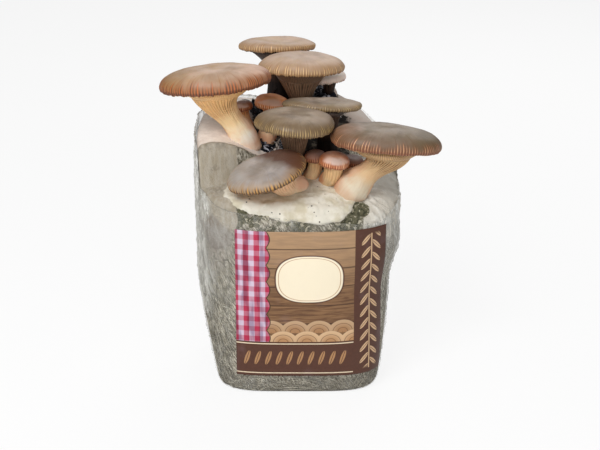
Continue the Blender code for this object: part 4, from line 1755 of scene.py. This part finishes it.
@dataclass(frozen=True)
class Mushroom:
    """One mushroom: a cap with its gills, and a stem that the gills run down."""

    name: str
    tone: CapTone
    stalk: StemTone
    cap: Spot
    foot: Spot
    radius: float
    oval: float = 1.0
    nod: float = 2.0
    roll: float = 0.0
    dome: float = 9.0
    dish: float = 0.0
    rim: float = 4.0
    boss: float = 9.0
    flare: float = 13.0
    neck: float = 8.0
    bulb: float = 10.0
    seat: tuple[float, float] = (0.0, 0.0)
    lobes: float = 0.03
    phase: float = 0.0
    pitch: float = 2.3
    hang: float = 0.42
    plump: float = 0.0
    # Angle and share of reach of the dark edge: partly brown rim, partly painted shade.
    dark_edge_and_shade_side: tuple[float, float] = (90.0, 0.9)

    @property
    def gills(self) -> int:
        """How many gills there are."""
        return round(math.tau * self.radius / self.pitch)

    @property
    def seed(self) -> int:
        """A number of its own for random choices."""
        return round(abs(self.phase) * 100 + self.radius * 7)

    def turn(self) -> np.ndarray:
        """The cap's tilt as a matrix."""
        nodded = Matrix.Rotation(math.radians(self.nod), 3, "X")
        return np.array(nodded @ Matrix.Rotation(math.radians(-self.roll), 3, "Y"))

    @staticmethod
    def lobe(angle: np.ndarray, phase: float) -> np.ndarray:
        """The slow waves of the edge.

        Args:
            angle: The angles.
            phase: Where the waves start.

        Returns:
            The waves.
        """
        wave = np.sin(2 * angle + phase) + 0.6 * np.sin(3 * angle - 1.7 * phase)
        return wave + 0.3 * np.sin(5 * angle + 2.9 * phase)

    def profile(self) -> tuple[np.ndarray, np.ndarray, np.ndarray]:
        """The cap's section from its middle, over the rim and in under the gills.

        Returns:
            How far along it each ring is (1 at the rim and 2 at the stem), its reach and its height.
        """
        r, dome, dish, rim = self.radius, self.dome, self.dish, self.rim
        knots = np.array([
            (0.0, 0.0, dome - dish),
            (0.3, 0.30 * r, dome - 0.95 * dish),
            (0.6, 0.66 * r, 0.84 * dome - 0.3 * dish),
            (0.8, 0.90 * r, 0.46 * dome),
            (0.92, 0.985 * r, 0.08 * dome),
            (1.0, 1.0 * r, -0.42 * rim),
            (1.06, 0.985 * r, -0.85 * rim),
            (1.14, 0.94 * r, -1.02 * rim),
            (1.3, 0.84 * r, -0.82 * rim),
            (1.65, 0.5 * (0.84 * r + self.flare), -0.5 * (0.8 * rim + self.boss) + 0.12 * self.boss),
            (2.0, self.flare, -self.boss),
        ])
        fine = 1.0 if r > 20 else 0.6
        spans = ((0.03, 0.8, 16), (0.825, 1.16, 15), (1.22, 2.0, 9))
        path = np.concatenate([np.linspace(start, end, round(rings * fine)) for start, end, rings in spans])
        slope = np.gradient(knots[:, 1:], knots[:, 0], axis=0)
        at = np.clip(np.searchsorted(knots[:, 0], path, side="right") - 1, 0, len(knots) - 2)
        gap = knots[at + 1, 0] - knots[at, 0]
        t = ((path - knots[at, 0]) / gap)[:, None]
        span = gap[:, None]
        value = (2 * t**3 - 3 * t**2 + 1) * knots[at, 1:] + (t**3 - 2 * t**2 + t) * span * slope[at]
        value += (3 * t**2 - 2 * t**3) * knots[at + 1, 1:] + (t**3 - t**2) * span * slope[at + 1]
        return path, value[:, 0], value[:, 1]

    def build_cap(self) -> None:
        """Makes the cap with its crimped rim and its gills."""
        grain = Grain(self.seed)
        columns = 4 * self.gills
        path, reach, height = self.profile()
        angle = np.linspace(0.0, math.tau, columns, endpoint=False)[None, :]
        path, reach, height = path[:, None], reach[:, None], height[:, None]
        ring = ring_of(angle, 9)
        drift = 2.2 * grain.layered(ring, 1.5, 2)
        comb = 0.5 + 0.5 * np.cos(self.gills * angle + drift)
        tooth = grain.at(ring * self.gills / 9, 5.0)
        share = reach / self.radius
        soft = min(1.0, self.radius / 25)
        wave = 1 + self.lobes * self.lobe(angle, self.phase)
        crimp = between(path, 0.86, 1.0, 1.12, 1.3)
        out = reach * wave + crimp * (0.35 * comb - 0.3 + 0.35 * tooth) * soft
        z = height + 0.4 * self.lobes * self.radius * share**3 * self.lobe(angle, self.phase + 2)
        gill = between(path, 1.08, 1.2, 1.35, 2.0)
        z = z - (crimp * 0.3 + gill * 1.1) * (comb - 0.5) - between(path, 1.0, 1.08, 1.14, 1.3) * 0.6 * tooth
        x, y = out * np.cos(angle), out * np.sin(angle) * self.oval
        blend = fade(path, 1.4, 2.0)
        x = x * (1 - blend) + (reach * np.cos(angle) + self.seat[0]) * blend
        y = y * (1 - blend) + (reach * np.sin(angle) + self.seat[1]) * blend
        points = np.stack([x, y, z + 0 * x], axis=-1)
        rough = 1.1 * grain.layered(points + 50, 24.0, 2) + 0.15 * grain.layered(points, 5.0, 2)
        points[..., 2] += rough * (1 - fade(path, 0.85, 0.97)) * soft
        placed = points @ self.turn().T + np.array(self.cap)
        values = {
            "path": path + 0 * x,
            "comb": comb + 0 * x,
            "tooth": tooth + 0 * x,
            "ray": ring_of(angle + 0 * x, 1) + UP * (share + 0 * x)[..., None],
        }
        skin = Skin(f"cap_{self.name}_gilled", placed[::-1], close_end=True)
        piece = skin.build({name: value[::-1] for name, value in values.items()})
        finish = CapFinish(self.tone, self.stalk, self.dark_edge_and_shade_side)
        seat(piece, f"cap_{self.name}", f"cap_{self.name}", finish.material(f"cap_skin_{self.name}"))

    def line(self, share: np.ndarray) -> tuple[np.ndarray, np.ndarray]:
        """The stem's middle line.

        Args:
            share: How far up each point is, from 0 in the block to 1 under the cap.

        Returns:
            The points and the directions there.
        """
        up = self.turn() @ UP
        top = np.array(self.cap) + self.turn() @ np.array([*self.seat, -self.boss]) + 0.4 * up
        foot = np.array(self.foot) - 0.55 * self.bulb * UP
        length = np.linalg.norm(top - foot)
        near_foot = foot + 0.25 * (top - foot) + 0.12 * length * UP
        near_top = top - up * self.hang * length
        t = share[:, None]
        s = 1 - t
        point = foot * s**3 + near_foot * 3 * s * s * t + near_top * 3 * s * t * t + top * t**3
        slope = (near_foot - foot) * s * s + (near_top - near_foot) * 2 * s * t + (top - near_top) * t * t
        return point, slope / np.linalg.norm(slope, axis=-1, keepdims=True)

    def build_stem(self) -> None:
        """Makes the stem with the gills that run down it."""
        large = self.radius > 40
        rows = 56 if large else 34
        folds = round(0.42 * self.gills)
        columns = 6 * folds
        share = np.linspace(0.0, 1.0, rows) ** 0.9
        middle, along = self.line(share)
        sides = np.zeros((rows, 3))
        side = self.turn() @ np.array([1.0, 0.0, 0.0])
        for row in range(rows - 1, -1, -1):
            side = side - along[row] * side.dot(along[row])
            side /= np.linalg.norm(side)
            sides[row] = side
        across = np.cross(along, sides)
        angle = np.linspace(0.0, math.tau, columns, endpoint=False)[None, :]
        grain = Grain(self.seed + 1)
        t = share[:, None]
        radius = self.neck + (self.bulb + self.plump - self.neck) * np.exp(-(((t - 0.22) / 0.24) ** 2))
        radius = radius + (self.flare - self.neck) * np.clip((t - 0.4) / 0.6, 0, 1) ** 2.3
        ring = ring_of(angle, 9)
        drift = 3.0 * grain.layered(ring, 1.5, 2)
        comb = 0.5 + 0.5 * np.cos(folds * angle + drift)
        start = 0.48 + 0.2 * grain.at(ring * folds / 9, 2.0)
        running = fade(t, start, start + 0.3)
        depth = (0.06 if large else 0.04) * radius * running * (comb - 0.5)
        lumps = grain.layered(middle[:, None, :] + 3 * ring, (9.0, 9.0, 16.0), 3)
        out = radius * (1 + 0.045 * lumps) + depth
        c, s = np.cos(angle)[..., None], np.sin(angle)[..., None]
        points = middle[:, None, :] + (sides[:, None, :] * c + across[:, None, :] * s) * out[..., None]
        values = {
            "path": t + 0 * out,
            "comb": 1 - running * (1 - comb),
            "ray": ring_of(angle + 0 * out, 1) + UP * (t + 0 * out)[..., None],
        }
        piece = Skin(f"stem_{self.name}_ribbed", points, close_start=True, close_end=True).build(values)
        finish = StemFinish(self.stalk)
        seat(piece, f"stem_{self.name}", f"stem_{self.name}", finish.material(f"stem_skin_{self.name}"))


@dataclass(frozen=True)
class Cluster:
    """The mushrooms that grow from the block."""

    mushrooms: tuple[Mushroom, ...] = (
        Mushroom(
            "left_large", CapTone.RUSSET, StemTone.CREAM, (-68, -20, 264.6), (-40.2, -4.8, 206.8), 46, oval=0.66,
            nod=1, roll=5, dome=11, rim=5.5, boss=12, flare=22, neck=9, bulb=11.5, seat=(1, 0), lobes=0.02,
            phase=0.4, pitch=2.5, hang=0.26, dark_edge_and_shade_side=(35, 0.82),
        ),
        Mushroom(
            "right_large", CapTone.OLIVE, StemTone.HONEY, (72, -50, 222.3), (38.5, -48, 177.8), 45, oval=0.64,
            nod=1, roll=-5, dome=11, rim=5, boss=12, flare=22, neck=8, bulb=12.5, lobes=0.02, phase=2.2,
            pitch=2.5, hang=0.2, plump=2.0, dark_edge_and_shade_side=(130, 0.86),
        ),
        Mushroom(
            "top_front", CapTone.TAUPE, StemTone.PAINTED_SHADE_TAN_FLARE, (4, 25, 267), (5, 38, 218), 36, oval=0.8, nod=1,
            roll=-1, boss=14, flare=19, neck=9.5, bulb=11.5, seat=(-1.5, 8), phase=1.1, dark_edge_and_shade_side=(180, 0.95),
        ),
        Mushroom(
            "top_back", CapTone.TAUPE, StemTone.PAINTED_SHADE, (-19, 68, 275.9), (-16, 62, 225.4), 34, oval=0.6, nod=0,
            roll=1, dome=5, dish=3, boss=15, flare=14.5, neck=10, bulb=10.5, seat=(2, 0), phase=3.0, plump=1.0,
            dark_edge_and_shade_side=(40, 0.86),
        ),
        Mushroom(
            "middle", CapTone.MOSS, StemTone.PAINTED_SHADE_TAN_FLARE, (-2, -46, 235.5), (-1, -12, 187.3), 33.5, oval=0.85,
            roll=-2, boss=13, seat=(0, 13), phase=4.2, pitch=2.0,
        ),
        Mushroom(
            "long_back", CapTone.DUSK, StemTone.PAINTED_SHADE, (21, 4, 238.1), (26, 6, 191.6), 35, oval=0.48, nod=0,
            roll=-2, dome=4, dish=2, rim=2.6, flare=12, bulb=9, seat=(4, 0), phase=5.0,
        ),
        Mushroom(
            "low_front", CapTone.LILAC, StemTone.ROSE, (-25, -67.2, 200.7), (0, -40, 181.3), 32.5, oval=0.93,
            nod=11, roll=16, dome=7, dish=2, neck=9.5, bulb=12.5, seat=(8, 3), phase=0.9, pitch=2.7,
            dark_edge_and_shade_side=(40, 0.05),
        ),
        Mushroom(
            "top_rear_small", CapTone.PINK, StemTone.PAINTED_SHADE, (27, 50, 250.6), (26, 56, 232.8), 15, nod=4,
            roll=6, dome=5, rim=3, boss=5, flare=6.5, neck=4.5, bulb=6, phase=1.7, pitch=1.9,
        ),
        Mushroom(
            "button_left", CapTone.AMBER, StemTone.TAN, (-22.2, 23, 234), (-27, 13, 204.3), 15, nod=3, roll=-6,
            dome=6, rim=3, boss=5, flare=7.5, neck=6, bulb=8, phase=2.5, pitch=1.9,
        ),
        Mushroom(
            "button_left_rear", CapTone.RUST, StemTone.TAN, (-47.5, 27, 230), (-43, 22, 213.5), 8.5, nod=4,
            roll=4, dome=4, rim=2.5, boss=4, flare=5, neck=4.5, bulb=5.5, phase=0.2, pitch=1.9,
        ),
        Mushroom(
            "button_pair_left", CapTone.BARK, StemTone.BUTTER, (14.8, -33, 202.5), (9, -27.5, 182), 9.5, nod=4,
            roll=4, dome=5, rim=2.5, boss=4, flare=6, neck=5.8, bulb=6.3, phase=3.3, pitch=1.9,
        ),
        Mushroom(
            "button_pair_right", CapTone.RUST, StemTone.BUTTER, (30.1, -51, 204.6), (24.3, -29, 181), 13, nod=5,
            roll=-4, dome=6, rim=3, boss=5, flare=8, neck=7, bulb=7.8, phase=4.6, pitch=1.9,
        ),
        Mushroom(
            "button_right_rear", CapTone.BARK, StemTone.TAN, (46, -22, 195.6), (42, -20, 181.6), 10, nod=4,
            roll=-6, dome=4, rim=2.5, boss=4, flare=5, neck=4, bulb=5.5, phase=5.4, pitch=1.9,
        ),
    )

    def build(self) -> None:
        """Makes every mushroom."""
        for mushroom in self.mushrooms:
            mushroom.build_cap()
            mushroom.build_stem()


@dataclass(frozen=True)
class Lamp:
    name: str
    place: Spot
    size: float
    power: float

    def build(self, target: Spot) -> None:
        """Hangs the lamp.

        Args:
            target: The point that it is turned to.
        """
        light = bpy.data.lights.new(self.name, "AREA")
        light.size = self.size
        light.energy = self.power
        lamp = bpy.data.objects.new(self.name, light)
        lamp.location = self.place
        lamp.visible_camera = False
        aim(lamp, target)


def aim(thing: bpy.types.Object, target: Spot) -> None:
    """Turns a lamp or a camera to a point, and links it to the scene.

    Args:
        thing: The lamp or camera, at its place.
        target: The point.
    """
    thing.rotation_mode = "QUATERNION"
    thing.rotation_quaternion = (Vector(target) - thing.location).to_track_quat("-Z", "Y")
    bpy.context.scene.collection.objects.link(thing)


@dataclass(frozen=True)
class Studio:
    """A pale floor, soft light and the camera. Lengths are in metres, and power is in watts."""

    eye: Spot = (0.002, -1.0806, 0.5233)
    target: Spot = (0.002, 0.0, 0.130)
    lens: float = 79.0
    lamps: tuple[Lamp, ...] = (
        Lamp("key", (-0.5, -1.05, 1.2), 0.7, 18.0),
        Lamp("fill", (0.5, -1.5, 0.5), 1.0, 4.8),
        Lamp("back", (0.4, 1.2, 1.2), 1.0, 8.0),
    )
    world_light: float = 0.27
    floor_half: float = 7.0
    floor_tone: float = 0.92
    floor_glow: float = 0.86

    def build(self) -> None:
        """Sets the stage."""
        scene = bpy.context.scene
        scene.view_settings.view_transform = "Standard"
        camera = bpy.data.objects.new("camera", bpy.data.cameras.new("camera"))
        camera.data.lens = self.lens
        camera.location = self.eye
        aim(camera, self.target)
        scene.camera = camera
        for lamp in self.lamps:
            lamp.build(self.target)
        world = bpy.data.worlds.new("studio")
        world.use_nodes = True
        background = world.node_tree.nodes["Background"]
        background.inputs["Color"].default_value = (1.0, 1.0, 1.0, 1.0)
        background.inputs["Strength"].default_value = self.world_light
        scene.world = world
        self._floor()

    def _floor(self) -> None:
        """Lays a pale floor that keeps a soft shadow, and glows for rays that reach the camera."""
        half = self.floor_half
        corners = [(-half, -half, 0), (half, -half, 0), (half, half, 0), (-half, half, 0)]
        mesh = bpy.data.meshes.new("floor")
        mesh.from_pydata(corners, [], [(0, 1, 2, 3)])
        floor = bpy.data.objects.new("floor", mesh)
        bpy.context.scene.collection.objects.link(floor)
        paint = Paint("pale_floor")
        paint.finish(Base_Color=(self.floor_tone,) * 3, Roughness=0.9)
        seen = 0.0
        for name in ("Is Camera Ray", "Is Glossy Ray", "Is Transmission Ray"):
            seen = seen + paint.node("ShaderNodeLightPath", {}, {}, name)
        white = paint.node("ShaderNodeEmission", {}, {"Color": (1.0, 1.0, 1.0), "Strength": 1.0})
        matt = Signal(paint, paint.shader.outputs[0])
        glow = paint.maths("MINIMUM", seen, 1.0) * self.floor_glow
        mixed = paint.node("ShaderNodeMixShader", {}, {0: glow, 1: matt, 2: white})
        output = next(node for node in paint.tree.nodes if node.type == "OUTPUT_MATERIAL")
        paint.feed(output.inputs["Surface"], mixed)
        mesh.materials.append(paint.material)


def main() -> None:
    logging.basicConfig(level=logging.INFO, format="%(name)s %(message)s")
    form = BagForm()
    Block(form, BlockFinish()).build()
    FilmBag(form, FilmFinish()).build()
    Label(form, LabelFinish()).build()
    Cluster().build()
    Studio().build()


if __name__ == "__main__":
    main()
